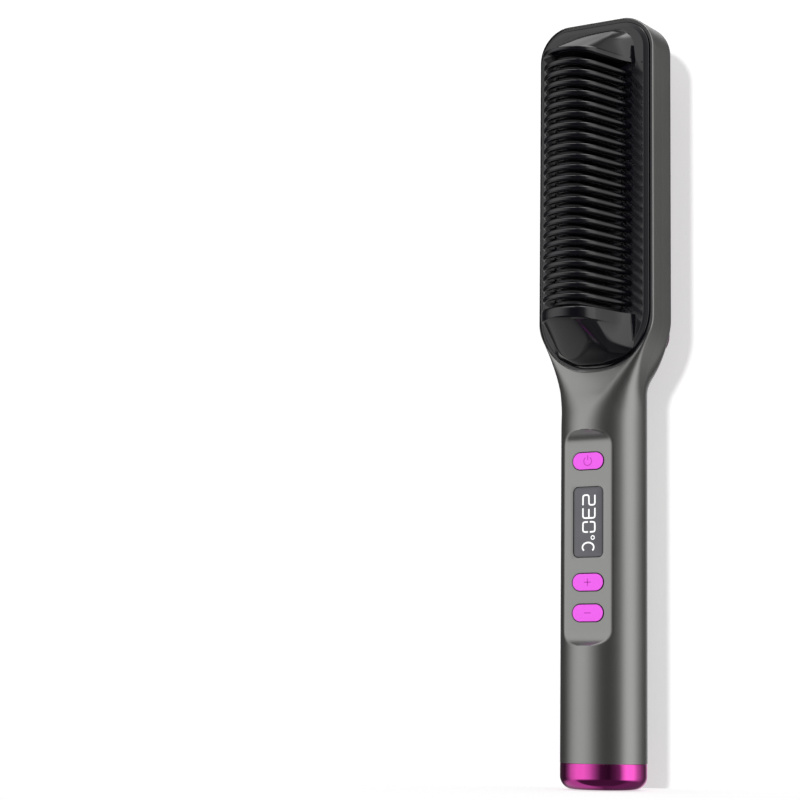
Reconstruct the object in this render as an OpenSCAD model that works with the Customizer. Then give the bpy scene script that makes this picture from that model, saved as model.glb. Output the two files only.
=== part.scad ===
// Heated straightening brush: a round handle that broadens into a flat head. The head's front carries a
// heated comb under a guard of arched ribs, and its back a cover plate in a trim ring.
// +Z runs up the handle to the head, -Y is the comb side, and the origin is where the cord leaves the cap.
// A depth is measured from the handle's axis towards the comb side, so it is -y.

/* [Overall] */
// Height from the end cap's flat base to the top of the head
overall_h = 270; // [240:1:300]
// Wall of the two housing halves
wall = 2.2; // [2:0.1:2.4]

/* [Handle] */
// Diameter of the round handle
handle_d = 30; // [27:0.5:33]
// Height at which the handle's front starts to fall back towards the head
front_neck_z = 126; // [124:0.5:128]
// Height at which the front has reached the head's depth
front_flat_z = 143; // [142:0.5:145]
// Height at which the handle starts to broaden
neck_z = 136; // [134:0.5:137]
// Height at which the head has its full width
shoulder_z = 162.5; // [161:0.5:164]
// Slant of the shoulder, whose back starts lower than its front
shoulder_lean = 0.34; // [0.2:0.02:0.4]

/* [Head] */
// Width of the head
head_w = 45; // [40:0.5:50]
// Depth of the head's front rim
head_front = 7.2; // [7:0.1:7.8]
// Depth of the head's back face behind the axis
head_back = 9; // [8.6:0.1:10]
// Radius of the head's two top corners
head_corner_r = 12; // [10:0.5:14]
// Edge radius round the head's front rim
front_edge_r = 0.8; // [0.5:0.1:1]
// Edge radius round the head's back
back_edge_r = 2.4; // [1.5:0.1:3]

/* [Comb] */
// Gap between the ribs' top end and the top of the head
comb_top_gap = 17.44; // [15:0.2:20]
// Distance from one rib to the next, rounded so that a whole number fits
rib_spacing = 3.74; // [3.5:0.02:4.2]
// Greatest thickness of a rib
rib_t = 2.1; // [1.8:0.1:2.2]
// Depth of a rib from its crest to its inner edge
rib_depth = 4.2; // [3.6:0.1:4.6]
// Height of the first gap over the lower end wall
comb_z = 162.8; // [161:0.2:164]
// Width of the cover's flat margin on each side of the ribs' feet
comb_margin = 7.7; // [7:0.1:8.4]
// Height of a rib's crest over the cover's face
rib_h = 25.7; // [22:0.1:27]
// Thickness of a heated fin
fin_t = 1.1; // [0.8:0.1:1.2]
// Lean of the ribs' sides, in degrees from upright
rib_lean = 14; // [10:0.5:16]
// Distance of the fins' edge below the ribs' crests
fin_drop = 3.4; // [3:0.1:5]
// Length of the upper end wall's slope
upper_slope = 13.4; // [12:0.2:14]
// Thickness of the upper end wall at its crest
upper_lip = 1.5; // [1:0.1:2]
// Thickness of the lower end wall at its crest
lower_lip = 4; // [2:0.1:5]
// Radius of the upper end wall's two corners, seen from the front
upper_corner_r = 6.5; // [4:0.5:8]

/* [Controls] */
// Width of the scooped recess for the controls
recess_w = 18.4; // [18:0.2:20]
// Height of the recess's lower end
recess_z = 48.6; // [46:0.2:50]
// Length of the recess
recess_l = 74.1; // [72:0.1:75]
// Radius with which the recess's floor curves up at its two ends
recess_end_r = 6; // [5:0.2:8]
// Width of a button
button_w = 11.7; // [11:0.1:13]
// Height of a button
button_h = 5.8; // [5:0.1:6]
// How far a button stands proud of the recess
button_proud = 0.3; // [0.1:0.1:0.6]
// Travel of a button
button_travel = 0.6; // [0.4:0.05:0.8]
// Heights of the power, plus and minus buttons
button_z = [112.1, 70.3, 59.8];
// Width of the display window
display_w = 11.3; // [11:0.1:12]
// Length of the display window
display_l = 24.2; // [23:0.1:25]
// Height of the display window's centre
display_z = 91; // [90:0.2:92]

/* [Back trim] */
// Gap between the trim ring and each side of the head
ring_side_gap = 1.6; // [1.4:0.1:2.5]
// Gap between the trim ring and the top of the head
ring_top_gap = 2.4; // [2:0.1:4]
// Height of the trim ring's lower end on the right side of the comb side
ring_low_right = 151; // [149:0.5:153]
// Height of the trim ring's lower end on the left side of the comb side
ring_low_left = 142; // [140:0.5:144]
// Width of the trim ring's band
ring_band = 3.8; // [3.2:0.1:4.2]
// Depth of the recess that holds the trim ring and the back cover
back_recess = 1.4; // [1.2:0.1:1.6]
// How far the trim ring stands proud of the head's back
ring_proud = 0.6; // [0.4:0.1:0.8]
// How far the back cover stands proud of the head's back
cover_proud = 1.5; // [1.2:0.1:1.8]

/* [End cap and gland] */
// Height of the end cap's visible part
cap_h = 8.9; // [8:0.1:10]
// Edge radius of the end cap
cap_edge_r = 4.5; // [3.5:0.1:5]
// Bore of the swivelling cord gland
gland_bore_d = 6.4; // [6:0.1:6.8]
// Length of the cord gland
gland_l = 10; // [9:0.2:12]

/* [Fits] */
// Gap round a piece that is set into another
set_gap = 0.15; // [0.1:0.05:0.2]
// Gap round a button in its hole
button_gap = 0.25; // [0.2:0.05:0.3]
// Running clearance of the cord gland in the end cap
run_gap = 0.08; // [0.05:0.01:0.1]

/* [Hidden] */
$fn = 48;

// Finishes.
c_grey = "dimgray";
c_black = [0.13, 0.12, 0.15];
c_pink = [1, 0.3, 0.8];
c_metal = "silver";
c_board = "darkgreen";

// Housing.
handle_r = handle_d / 2;
inner_r = handle_r - wall;
arc_n = 5;
side_flat = 0.1;
small = 0.01;

// Cover over the head's front, and its seat in the front housing.
panel_t = 1.6;
panel_proud = 0.7;
panel_face = head_front + panel_proud;
panel_seat = panel_face - panel_t;
panel_half_w = head_w / 2 - 0.4;
panel_low_z = 143.8;
panel_low_r = 21;
panel_top_r = head_corner_r - 0.6;
edge_end_z = front_flat_z + 8;
panel_top_z = overall_h - 0.6;
front_inner = head_front - wall;
comb_top_z = overall_h - comb_top_gap;
comb_l = comb_top_z - comb_z;
comb_mid_z = (comb_top_z + comb_z) / 2;
rib_count = round(comb_l / rib_spacing) - 1;
rib_pitch = comb_l / (rib_count + 1);
rib_half = head_w / 2 - comb_margin;
crest_rise = 0.6;
wall_edge_r = 3;
end_slot = 3;
opening_half_w = rib_half + 0.5;

// Heater stack, from the front wall's inner face backwards.
gasket_t = 1;
base_t = 3;
element_t = 3;
clamp_t = 1;
tray_t = 1.2;
tray_air = 0.4;
base_front = front_inner - gasket_t;
base_back = base_front - base_t;
element_back = base_back - element_t;
clamp_back = element_back - clamp_t;
tray_front = clamp_back - tray_air;
element_gap = 4;
element_margin = 3;
element_l = (comb_l - element_gap) / 2 - element_margin;
base_end = 6.6;
base_half_w = opening_half_w + 1;
element_half_w = base_half_w - 7.2;
clamp_half_w = element_half_w + 1;
tray_half_w = base_half_w - 2.8;
tray_end = 1;
tray_lip = 0.5;
comb_screw_x = element_half_w;
fin_half = rib_half - rib_depth - 0.6;
foot_margin = 1.4;
lower_slope = comb_z - panel_low_z - foot_margin;
back_floor = head_back - back_recess;
back_inner = back_floor - 1.8;

// Controls.
recess_depth = sqrt(pow(handle_r, 2) - pow(recess_w / 2, 2));
scoop_end = sqrt(pow(recess_end_r, 2) - pow(recess_end_r - (handle_r - recess_depth), 2));
window_t = 1.3;
window_r = 2;
window_seat = recess_depth - window_t - 0.1;
window_ledge = 1;
panel_wall = 2.2;
recess_back = recess_depth - panel_wall;
flange_t = 0.8;
flange_rim = 0.8;
board_t = 1.2;
switch_body = 6;
switch_h = 3.1;
plunger_h = 0.4;
plunger_r = 1.7;
stem_r = 1.2;
stem_gap = 0.05;
board_drop = 5.6;
board_front = recess_back - board_drop;
board_back = board_front - board_t;
board_w = 16.6;
board_end = 8;
board_low_z = button_z[2] - board_end;
board_top_z = button_z[0] + board_end;
post_r = 1.8;
post_x = 5.6;
post_inset = 2;
pilot_r = 0.9;
display_frame = 0.7;
power_t = 1.6;
power_front = -1.2;
power_back = power_front - power_t;
power_w = 20;
power_low_z = 37;
power_top_z = board_top_z + 4;
rest_rib_t = 1.5;
header_w = 12;
header_h = 2.5;
header_drop = 10;
capacitor_r = 4;
capacitor_l = 14;
capacitor_z = 62;
triac_w = 10;
triac_h = 15;
triac_t = 4.5;
triac_z = 100;
terminal_w = 14;
terminal_h = 8;
terminal_t = 7;
terminal_z = 46;

// Leads, the fuse in one of them, and the temperature sensor.
lead_r = 0.9;
lead_x = 4;
lead_depth = power_front + lead_r;
lead_low_z = board_top_z + 0.4;
lead_top_z = comb_z + element_margin;
fuse_r = 1.6;
fuse_l = 10;
fuse_z = comb_z - base_end - 2 - fuse_l;
sensor_r = 1.4;
sensor_l = 4;
sensor_z = comb_z - base_end + 1;
sensor_lead_r = 0.5;
sensor_lead_x = 0.7;

// End cap and gland.
cap_floor = 2.4;
cap_wall = 1.8;
collar_h = 6;
collar_r = inner_r - set_gap;
cap_inner_r = collar_r - cap_wall;
gland_tube_r = gland_bore_d / 2 + 1.6;
gland_neck_r = gland_tube_r + 0.6;
gland_flange_r = gland_neck_r + 1.4;
gland_flange_t = 1.5;
float_gap = 0.1;
retainer_z = cap_floor + float_gap + gland_flange_t + float_gap;
retainer_t = 1.4;
retainer_gap = 0.3;
retainer_screw_r = 0.55;
retainer_boss_r = 1.2;
boss_circle_r = (gland_flange_r + cap_inner_r) / 2;

// Screws: shank radius, head radius, head thickness, and the gap round a shank.
screw_r = 1;
screw_head_r = 2;
screw_head_t = 1.2;
screw_gap = 0.1;
guard_grip = 4;
board_screw_r = 0.85;
board_screw_head_r = 1.7;
board_screw_head_t = 1;
post_grip = 3;
cap_screw_head_r = 1.1;
cap_screw_head_t = 0.7;
cap_grip = 1.3;

// Bosses that join the two housing halves in the head.
boss_r = 2;
boss_x = head_w / 2 - wall - boss_r + 0.1;
boss_low = 13;
boss_top = 9;
ring_half_w = head_w / 2 - ring_side_gap;
ring_corner_r = [10, 7, 8, 10];
cover_edge = 1.1;
screw_seat = back_floor - screw_head_t - screw_gap;

function ease(t) = t <= 0 ? 0 : t >= 1 ? 1 : t * t * (3 - 2 * t);
function mix(a, b, t) = a + (b - a) * t;

// How far a point at height z has gone from the handle to the head: in width, in the front's depth and in
// the front's edge.
function headness(z) = ease((z - neck_z) / (shoulder_z - neck_z));
function front_fall(z) = ease((z - front_neck_z) / (front_flat_z - front_neck_z));
function edge_fall(z) = ease((z - front_neck_z) / (edge_end_z - front_neck_z));

// Fall of a quarter round of radius r at distance s past its start.
function quarter(s, r) = s <= 0 ? 0 : r - sqrt(max(0, r * r - s * s));

function half_width(z) =
    mix(handle_r, head_w / 2, headness(z)) - quarter(z - (overall_h - head_corner_r), head_corner_r);

function front_depth(z) =
    mix(handle_r, head_front, front_fall(z)) - quarter(z - (overall_h - front_edge_r), front_edge_r);

function back_depth(z) =
    mix(handle_r, head_back, headness(z)) - quarter(z - (overall_h - back_edge_r), back_edge_r);

function edge_r(z, side) =
    side > 0 ? mix(handle_r, front_edge_r, edge_fall(z)) : mix(handle_r, back_edge_r, headness(z));

// Slant of a level: nothing in the handle and the head, most in the middle of the shoulder.
function lean(z) =
    let (t = (z - neck_z) / (shoulder_z - neck_z))
    t <= 0 ? 0 : t >= 1 ? 0 : shoulder_lean * pow(sin(180 * t), 2);

// Half of one level, t below the surface: a rounded rectangle whose corner radius shrinks from the
// handle's own radius to the edge radius of the head. Its straight edge lies in the parting plane.
function half_level(z, t, side) =
    let (w = half_width(z) - t,
         d = (side > 0 ? front_depth(z) : back_depth(z)) - t,
         r = max(0.3, min(edge_r(z, side) - t, d - side_flat)),
         slant = lean(z),
         arc = [for (i = [0:arc_n]) [w - r + r * cos(90 * i / arc_n), d - r + r * sin(90 * i / arc_n)]],
         half = concat([[w, 0]], arc),
         mirrored = [for (i = [len(half) - 1:-1:0]) [-half[i][0], half[i][1]]],
         plan = concat(half, mirrored))
    [for (p = plan) [p[0], -side * p[1], z + slant * side * p[1]]];

neck_levels = [for (i = [0:3]) mix(front_neck_z, neck_z, i / 4)];
shoulder_levels = [for (i = [0:9]) mix(neck_z, shoulder_z, i / 9)];
head_levels = [(shoulder_z + overall_h) / 2, overall_h - head_corner_r];
corner_levels = [for (a = [15, 30, 45, 58, 68, 78, 90]) overall_h - head_corner_r * (1 - sin(a))];
levels = concat(neck_levels, shoulder_levels, head_levels, corner_levels);

// A solid through closed rings of points that have the same count and run the same way round.
// flip turns its faces over for rings that run the other way.
module stack(rings, flip = false) {
    n = len(rings[0]);
    m = len(rings);
    points = [for (ring = rings) each ring];
    low = [for (i = [0:n - 1]) i];
    top = [for (i = [n - 1:-1:0]) (m - 1) * n + i];
    sides = [for (j = [0:m - 2]) for (i = [0:n - 1])
        let (a = j * n + i, b = j * n + (i + 1) % n)
        each [[a, a + n, b + n], [a, b + n, b]]];
    faces = concat([low], sides, [top]);
    polyhedron(points, flip ? [for (f = faces) [for (i = [len(f) - 1:-1:0]) f[i]]] : faces);
}

// A closed band: the rings follow a closed path, and the last joins the first.
module band(rings) {
    n = len(rings[0]);
    m = len(rings);
    points = [for (ring = rings) each ring];
    faces = [for (j = [0:m - 1]) for (i = [0:n - 1])
        let (k = (j + 1) % m, a = j * n + i, b = j * n + (i + 1) % n, c = k * n + i, d = k * n + (i + 1) % n)
        each [[a, c, d], [a, d, b]]];
    polyhedron(points, faces);
}

// Children drawn in the plan of X and Z, as a slab between two depths.
module slab(d0, d1) {
    translate([0, -d0, 0]) rotate([90, 0, 0]) linear_extrude(d1 - d0) children();
}

// Solid half of the body's form, t below the surface.
module half_body(t, side) {
    top = overall_h - t;
    heights = concat([for (z = levels) if (z < top - 0.2) z], [top]);
    stack([for (z = heights) half_level(z, t, side)], flip = side > 0);
}

// Half of the handle's tube, from the end cap's seam to the neck.
module half_tube(side) {
    translate([0, 0, cap_h]) rotate([0, 0, side > 0 ? 180 : 0]) rotate_extrude(angle = 180, $fn = 96)
        translate([inner_r, 0]) square([wall, front_neck_z - cap_h]);
}

// Children drawn in the plan of Y and Z, as a bar across the handle.
module across() {
    translate([-handle_d, 0, 0]) rotate([90, 0, 90]) linear_extrude(2 * handle_d) children();
}

// Cutter of the recess for the controls: its side view has a straight floor that curves up at both ends,
// where it runs out of the round handle in an arc.
module scoop() {
    low = recess_z + scoop_end;
    top = recess_z + recess_l - scoop_end;
    across() {
        translate([-recess_depth - 2 * recess_end_r, low]) square([2 * recess_end_r, top - low]);
        for (z = [low, top]) translate([-recess_depth - recess_end_r, z]) circle(r = recess_end_r, $fn = 96);
    }
}

// Outline of a button's stadium, lying across the handle.
module button_plan(w, h) {
    square([w - h, h], center = true);
    translate([(w - h) / 2, 0]) circle(d = h, $fn = 32);
    translate([-(w - h) / 2, 0]) circle(d = h, $fn = 32);
}

module window_plan(w, l, r) {
    square([w - 2 * r, l], center = true);
    square([w, l - 2 * r], center = true);
    for (x = [-1, 1], z = [-1, 1]) translate([x * (w / 2 - r), z * (l / 2 - r)]) circle(r = r, $fn = 32);
}

// Corners of an outline, rounded: each corner is [x, z, radius], and they run anticlockwise.
function rounded(corners, n = 7) =
    [for (i = [0:len(corners) - 1])
        let (c = corners[i],
             p = corners[(i + len(corners) - 1) % len(corners)],
             q = corners[(i + 1) % len(corners)],
             a = [p[0] - c[0], p[1] - c[1]],
             b = [q[0] - c[0], q[1] - c[1]],
             ua = a / norm(a),
             ub = b / norm(b),
             half = acos(ua * ub) / 2,
             middle = (ua + ub) / norm(ua + ub),
             centre = [c[0], c[1]] + middle * c[2] / sin(half),
             start = atan2(-middle[1], -middle[0]) - (90 - half))
        each [for (j = [0:n])
            let (a = start + (180 - 2 * half) * j / n)
            centre + c[2] * [cos(a), sin(a)]]];

// Outline of the cover over the head's front, inset by t.
function panel_outline(t) =
    rounded([[-panel_half_w + t, panel_top_z - t, panel_top_r - t],
             [-panel_half_w + t, panel_low_z + t, panel_low_r - t],
             [panel_half_w - t, panel_low_z + t, panel_low_r - t],
             [panel_half_w - t, panel_top_z - t, panel_top_r - t]]);

// Half of that cover's width at height z, inset by t, in its rounded lower end.
function panel_half(z, t) =
    panel_half_w - t - quarter(panel_low_z + panel_low_r - z, panel_low_r - t);

// Outline of the trim ring, inset by t: its lower edge falls from the right to the left.
function ring_outline(t) =
    let (slope = (ring_low_right - ring_low_left) / (2 * ring_half_w),
         drop = t * sqrt(1 + slope * slope),
         top = overall_h - ring_top_gap - t,
         half = ring_half_w - t,
         low = (ring_low_right + ring_low_left) / 2 + drop)
    rounded([[-half, top, ring_corner_r[0] - t],
             [-half, low - slope * half, ring_corner_r[1] - t],
             [half, low + slope * half, ring_corner_r[2] - t],
             [half, top, ring_corner_r[3] - t]]);

function at_depth(outline, d) = [for (p = outline) [p[0], -d, p[1]]];

// Profile of what stands on the cover's face: two leaning sides, and a crest whose ends are rounded by r.
// foot is half its width on the face, and h its height.
function profile(foot, h, r, n) =
    let (x = max(0, foot - h * tan(rib_lean) - r * (1 / cos(rib_lean) - tan(rib_lean))))
    concat([[foot, panel_face]],
           [for (i = [0:n])
               let (a = rib_lean + (180 - 2 * rib_lean) * i / n)
               [x * sign(round(cos(a) * 1000)) + r * cos(a), panel_face + h - r + r * sin(a)]],
           [[-foot, panel_face]]);

// Radius of the crest that joins both leaning sides in one arc.
function arch_r(foot, h) = (foot - h * tan(rib_lean)) / (1 / cos(rib_lean) - tan(rib_lean));

// Arch of a rib, t inside the rib's own outline.
function arch(t, n) =
    profile(rib_half - t / cos(rib_lean), rib_h - t, arch_r(rib_half, rib_h) - t, n);

module front_housing() {
    color(c_grey) {
        difference() {
            union() {
                difference() {
                    half_body(0, 1);
                    translate([0, 0, -small]) half_body(wall, 1);
                }
                half_tube(1);
                control_wall();
            }
            scoop();
            for (z = button_z)
                slab(recess_back - 1, recess_depth + 1) translate([0, z])
                    button_plan(button_w + 2 * button_gap, button_h + 2 * button_gap);
            slab(window_seat, recess_depth + 1) translate([0, display_z])
                window_plan(display_w + 2 * set_gap, display_l + 2 * set_gap, window_r);
            slab(recess_back - 1, recess_depth) translate([0, display_z])
                window_plan(display_w - 2 * window_ledge, display_l - 2 * window_ledge,
                    window_r - window_ledge);
            slab(panel_seat, handle_r + 1) polygon(panel_outline(-set_gap));
            slab(0, handle_r) translate([0, comb_mid_z])
                square([2 * opening_half_w, comb_l + 2 * end_slot], center = true);
            comb_screw_places() rotate([90, 0, 0]) cylinder(r = screw_r + screw_gap, h = handle_r, $fn = 24);
        }
        board_posts();
        housing_bosses();
    }
}

// Flat wall behind the recess, between the recess's floor and the controls, closed at both ends.
module control_wall() {
    intersection() {
        slab(recess_back, handle_r) translate([0, recess_z + recess_l / 2])
            square([handle_d, recess_l + 2 * wall], center = true);
        cylinder(r = handle_r - wall / 2, h = overall_h, $fn = 96);
    }
}

module board_post_places() {
    for (z = [board_low_z + post_inset, board_top_z - post_inset]) for (x = [-1, 1])
        translate([x * post_x, 0, z]) children();
}

module board_posts() {
    difference() {
        board_post_places() translate([0, -board_front, 0]) rotate([90, 0, 0])
            cylinder(r = post_r, h = board_drop + small, $fn = 24);
        board_post_places() translate([0, -board_front + small, 0]) rotate([90, 0, 0])
            cylinder(r = pilot_r, h = board_drop - 1.6, $fn = 16);
    }
}

module housing_boss_places() {
    for (x = [-1, 1]) for (z = [comb_z + boss_low, comb_top_z - boss_top])
        translate([x * boss_x, 0, z]) children();
}

module housing_bosses() {
    difference() {
        housing_boss_places() rotate([90, 0, 0]) cylinder(r = boss_r, h = front_inner + small, $fn = 24);
        housing_boss_places() translate([0, small, 0]) rotate([90, 0, 0])
            cylinder(r = screw_r + screw_gap / 2, h = front_inner - 1, $fn = 24);
    }
}

module back_housing() {
    color(c_grey) {
        difference() {
            union() {
                difference() {
                    half_body(0, -1);
                    back_hollow();
                }
                half_tube(-1);
            }
            slab(-handle_r - 1, -back_floor) polygon(ring_outline(-set_gap));
            housing_boss_places() rotate([-90, 0, 0])
                cylinder(r = screw_r + screw_gap, h = handle_r, $fn = 24);
            housing_boss_places() translate([0, screw_seat, 0]) rotate([-90, 0, 0])
                cylinder(r = screw_head_r + screw_gap, h = handle_r, $fn = 24);
        }
        rest_ribs();
        back_bosses();
    }
}

// Hollow of the back half: over the recess for the trim it is as shallow as the recess's floor asks.
module back_hollow() {
    difference() {
        translate([0, 0, -small]) half_body(wall, -1);
        translate([-head_w, back_inner, ring_low_left - 4]) cube([2 * head_w, handle_r, overall_h]);
    }
}

// Two ribs across the handle's back half, on which the power board's ends rest.
module rest_ribs() {
    for (z = [power_low_z, power_top_z - rest_rib_t])
        intersection() {
            translate([-handle_r, -power_back, z]) cube([2 * handle_r, handle_r, rest_rib_t]);
            cylinder(r = inner_r + wall / 2, h = overall_h, $fn = 96);
        }
}

module back_bosses() {
    difference() {
        housing_boss_places() rotate([-90, 0, 0]) cylinder(r = boss_r, h = back_inner + small, $fn = 24);
        housing_boss_places() translate([0, -small, 0]) rotate([-90, 0, 0])
            cylinder(r = screw_r + screw_gap, h = handle_r, $fn = 24);
    }
}

module trim_ring() {
    face = head_back + ring_proud;
    profile = [[0, back_floor], [0, face - 0.5], [0.5, face], [ring_band - 1.4, face - 0.2],
               [ring_band, head_back - 0.2], [ring_band, back_floor]];
    outlines = [for (p = profile) ring_outline(p[0])];
    color(c_pink)
        band([for (i = [0:len(outlines[0]) - 1])
            [for (k = [0:len(profile) - 1]) [outlines[k][i][0], profile[k][1], outlines[k][i][1]]]]);
}

module back_cover() {
    edge = ring_band + 2 * set_gap;
    face = head_back + cover_proud;
    color("gray")
        stack([at_depth(ring_outline(edge), -back_floor),
               at_depth(ring_outline(edge), -(face - cover_edge)),
               at_depth(ring_outline(edge + 0.5), -(face - 0.35)),
               at_depth(ring_outline(edge + 1.8), -face)], flip = true);
}

// Guard: the cover over the head's front, its two sloped end walls and the arched ribs between them.
module comb_cover() {
    color(c_black) {
        difference() {
            union() {
                stack([at_depth(panel_outline(0), panel_seat),
                       at_depth(panel_outline(0), panel_face - 0.5),
                       at_depth(panel_outline(0.5), panel_face)]);
                end_wall(comb_top_z, 1, upper_slope, upper_lip);
                end_wall(comb_z, -1, lower_slope, lower_lip);
            }
            slab(panel_seat - 1, panel_face + 1) translate([0, comb_mid_z])
                square([2 * (rib_half - rib_depth), comb_l], center = true);
            comb_screw_places() translate([0, small - base_front, 0]) rotate([90, 0, 0])
                cylinder(r = screw_r + screw_gap / 2, h = panel_face + 6 - base_front, $fn = 24);
        }
        for (i = [1:rib_count]) rib(comb_z + i * rib_pitch);
    }
}

// One arched rib at height z: a wedge-shaped bar, widest a little below its crest.
module rib(z) {
    n = 14;
    bar = [[0, 0.12], [0.9, 0.5], [rib_depth, 0.28], [rib_depth, -0.28], [0.9, -0.5], [0, -0.12]];
    arches = [for (p = bar) arch(p[0], n)];
    last = n + 2;
    stack([for (i = [0:last])
        [for (k = [0:len(bar) - 1])
            let (point = arches[k][i])
            [point[0], -(i == 0 || i == last ? panel_face - 0.3 : point[1]), z + bar[k][1] * rib_t]]]);
}

// End wall of the guard: an arch at height z with a thick lip, from which a flat slope of length l falls
// to the cover. The wall keeps inside the cover's outline, and its upper corners are rounded.
module end_wall(z, up, l, lip) {
    n = 16;
    steps = concat([0, 0.3 * lip / l, 0.8 * lip / l],
                   [for (t = [0, 0.12, 0.26, 0.42, 0.58, 0.7, 0.8, 0.88, 0.94, 0.98, 1]) mix(lip / l, 1, t)]);
    rise = [0.4, 1, 1];
    stack([for (k = [0:len(steps) - 1])
        let (s = steps[k],
             t = max(0, (s - lip / l) / (1 - lip / l)),
             h = k < 3 ? rib_h + crest_rise * rise[k] : rib_h * (1 - t) + 0.05,
             r = min(mix(arch_r(rib_half, rib_h), wall_edge_r, ease(t / 0.3)), 0.9 * h),
             half = up > 0 ? rib_half - quarter(upper_corner_r - (1 - s) * l, upper_corner_r)
                           : min(rib_half, panel_half(z - s * l, foot_margin)))
        [for (p = profile(half, h, r, n))
            [p[0], -(p[1] > panel_face ? p[1] : panel_face - 0.4), z + up * s * l]]],
        flip = up > 0);
}

module comb_screw_places() {
    for (z = [comb_z - base_end / 2, comb_top_z + base_end / 2]) for (x = [-1, 1])
        translate([x * comb_screw_x, 0, z]) children();
}

module base_plan() {
    translate([0, comb_mid_z])
        square([2 * base_half_w, comb_l + 2 * base_end], center = true);
}

module heat_gasket() {
    color("tan") difference() {
        slab(base_front, front_inner) base_plan();
        slab(base_front - 1, front_inner + 1) translate([0, comb_mid_z])
            square([2 * opening_half_w, comb_l + 2 * end_slot], center = true);
        comb_screw_places() rotate([90, 0, 0]) cylinder(r = screw_r + screw_gap, h = handle_r, $fn = 24);
    }
}

// Cast comb: a base plate with one fin in each gap between the ribs.
module heating_comb() {
    n = 16;
    root = base_front - 0.5;
    fin_h = rib_h - fin_drop;
    fin = [for (p = profile(fin_half, fin_h, arch_r(fin_half, fin_h), n)) [p[0], -p[1]]];
    color(c_metal) {
        difference() {
            slab(base_back, base_front) base_plan();
            comb_screw_places() translate([0, handle_r, 0]) rotate([90, 0, 0])
                cylinder(r = screw_r + screw_gap, h = handle_d, $fn = 24);
        }
        for (i = [0:rib_count]) translate([0, 0, comb_z + (i + 0.5) * rib_pitch - fin_t / 2])
            linear_extrude(fin_t) polygon(concat([[fin_half, -root]], fin, [[-fin_half, -root]]));
    }
}

module heater_elements() {
    color("white")
        for (z = [comb_z + element_margin + element_l / 2, comb_top_z - element_margin - element_l / 2])
            slab(element_back, base_back) translate([0, z])
                square([2 * element_half_w, element_l], center = true);
}

module heater_clamp() {
    color(c_metal) slab(clamp_back, element_back) translate([0, comb_mid_z])
        square([2 * clamp_half_w, comb_l - element_gap], center = true);
}

// Open tray behind the heaters, which keeps their heat off the back housing.
module insulation_tray() {
    length = comb_l + 2 * tray_end;
    color("beige") translate([0, 0, comb_mid_z]) difference() {
        slab(-back_inner, element_back + tray_lip) square([2 * tray_half_w, length], center = true);
        slab(tray_front, head_front) square([2 * (tray_half_w - tray_t), length - 2 * tray_t], center = true);
    }
}

module upright(x, d, z0, z1, r) {
    translate([x, -d, z0]) cylinder(r = r, h = z1 - z0, $fn = 20);
}

module thermal_fuse() {
    color(c_metal) upright(lead_x, lead_depth, fuse_z, fuse_z + fuse_l, fuse_r);
}

module heater_leads() {
    color("white") {
        upright(lead_x, lead_depth, lead_low_z, fuse_z, lead_r);
        upright(lead_x, lead_depth, fuse_z + fuse_l, lead_top_z, lead_r);
        upright(-lead_x, lead_depth, lead_low_z, lead_top_z, lead_r);
    }
}

module thermistor() {
    color("orange") upright(0, base_back - sensor_r, sensor_z, sensor_z + sensor_l, sensor_r);
}

module sensor_leads() {
    color("black") for (x = [-sensor_lead_x, sensor_lead_x])
        upright(x, power_front + sensor_lead_r, lead_low_z, sensor_z, sensor_lead_r);
}

module control_board() {
    color(c_board) difference() {
        slab(board_back, board_front) translate([0, (board_low_z + board_top_z) / 2])
            square([board_w, board_top_z - board_low_z], center = true);
        board_post_places() translate([0, handle_r, 0]) rotate([90, 0, 0])
            cylinder(r = screw_r, h = 2 * handle_r, $fn = 24);
    }
}

module board_header() {
    color("black") slab(power_front, board_back) translate([0, display_z - header_drop])
        square([header_w, header_h], center = true);
}

module display_module() {
    color("black") slab(board_front, recess_back - 0.2) translate([0, display_z])
        square([display_w - 2 * display_frame, display_l - 2 * display_frame], center = true);
}

module display_window() {
    color([0.3, 0.3, 0.33]) slab(window_seat, window_seat + window_t) translate([0, display_z])
        window_plan(display_w, display_l, window_r - set_gap);
}

// A push button: its cap in the recess's wall, a flange behind the wall and a stem to the switch.
module button(z) {
    color(c_pink) {
        slab(recess_back - small, recess_depth + button_proud) translate([0, z])
            button_plan(button_w, button_h);
        slab(recess_back - flange_t, recess_back) translate([0, z])
            button_plan(button_w + 2 * flange_rim, button_h + 2 * flange_rim);
        slab(board_front + switch_h + plunger_h + button_travel + stem_gap, recess_back - flange_t + small)
            translate([0, z]) circle(r = stem_r, $fn = 24);
    }
}

module power_button() { button(button_z[0]); }
module plus_button() { button(button_z[1]); }
module minus_button() { button(button_z[2]); }

module switch(z) {
    color(c_black) {
        slab(board_front, board_front + switch_h) translate([0, z]) square(switch_body, center = true);
        slab(board_front + switch_h - small, board_front + switch_h + plunger_h) translate([0, z])
            circle(r = plunger_r, $fn = 24);
    }
}

module power_switch() { switch(button_z[0]); }
module plus_switch() { switch(button_z[1]); }
module minus_switch() { switch(button_z[2]); }

module power_board() {
    color(c_board) slab(power_back, power_front) translate([0, (power_low_z + power_top_z) / 2])
        square([power_w, power_top_z - power_low_z], center = true);
}

module capacitor() {
    color("navy") upright(capacitor_r - 0.5, power_back - capacitor_r, capacitor_z,
        capacitor_z + capacitor_l, capacitor_r);
}

module triac() {
    color(c_black) slab(power_back - triac_t, power_back) translate([0, triac_z])
        square([triac_w, triac_h], center = true);
}

module terminal_block() {
    color("green") slab(power_back - terminal_t, power_back) translate([0, terminal_z])
        square([terminal_w, terminal_h], center = true);
}

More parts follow.
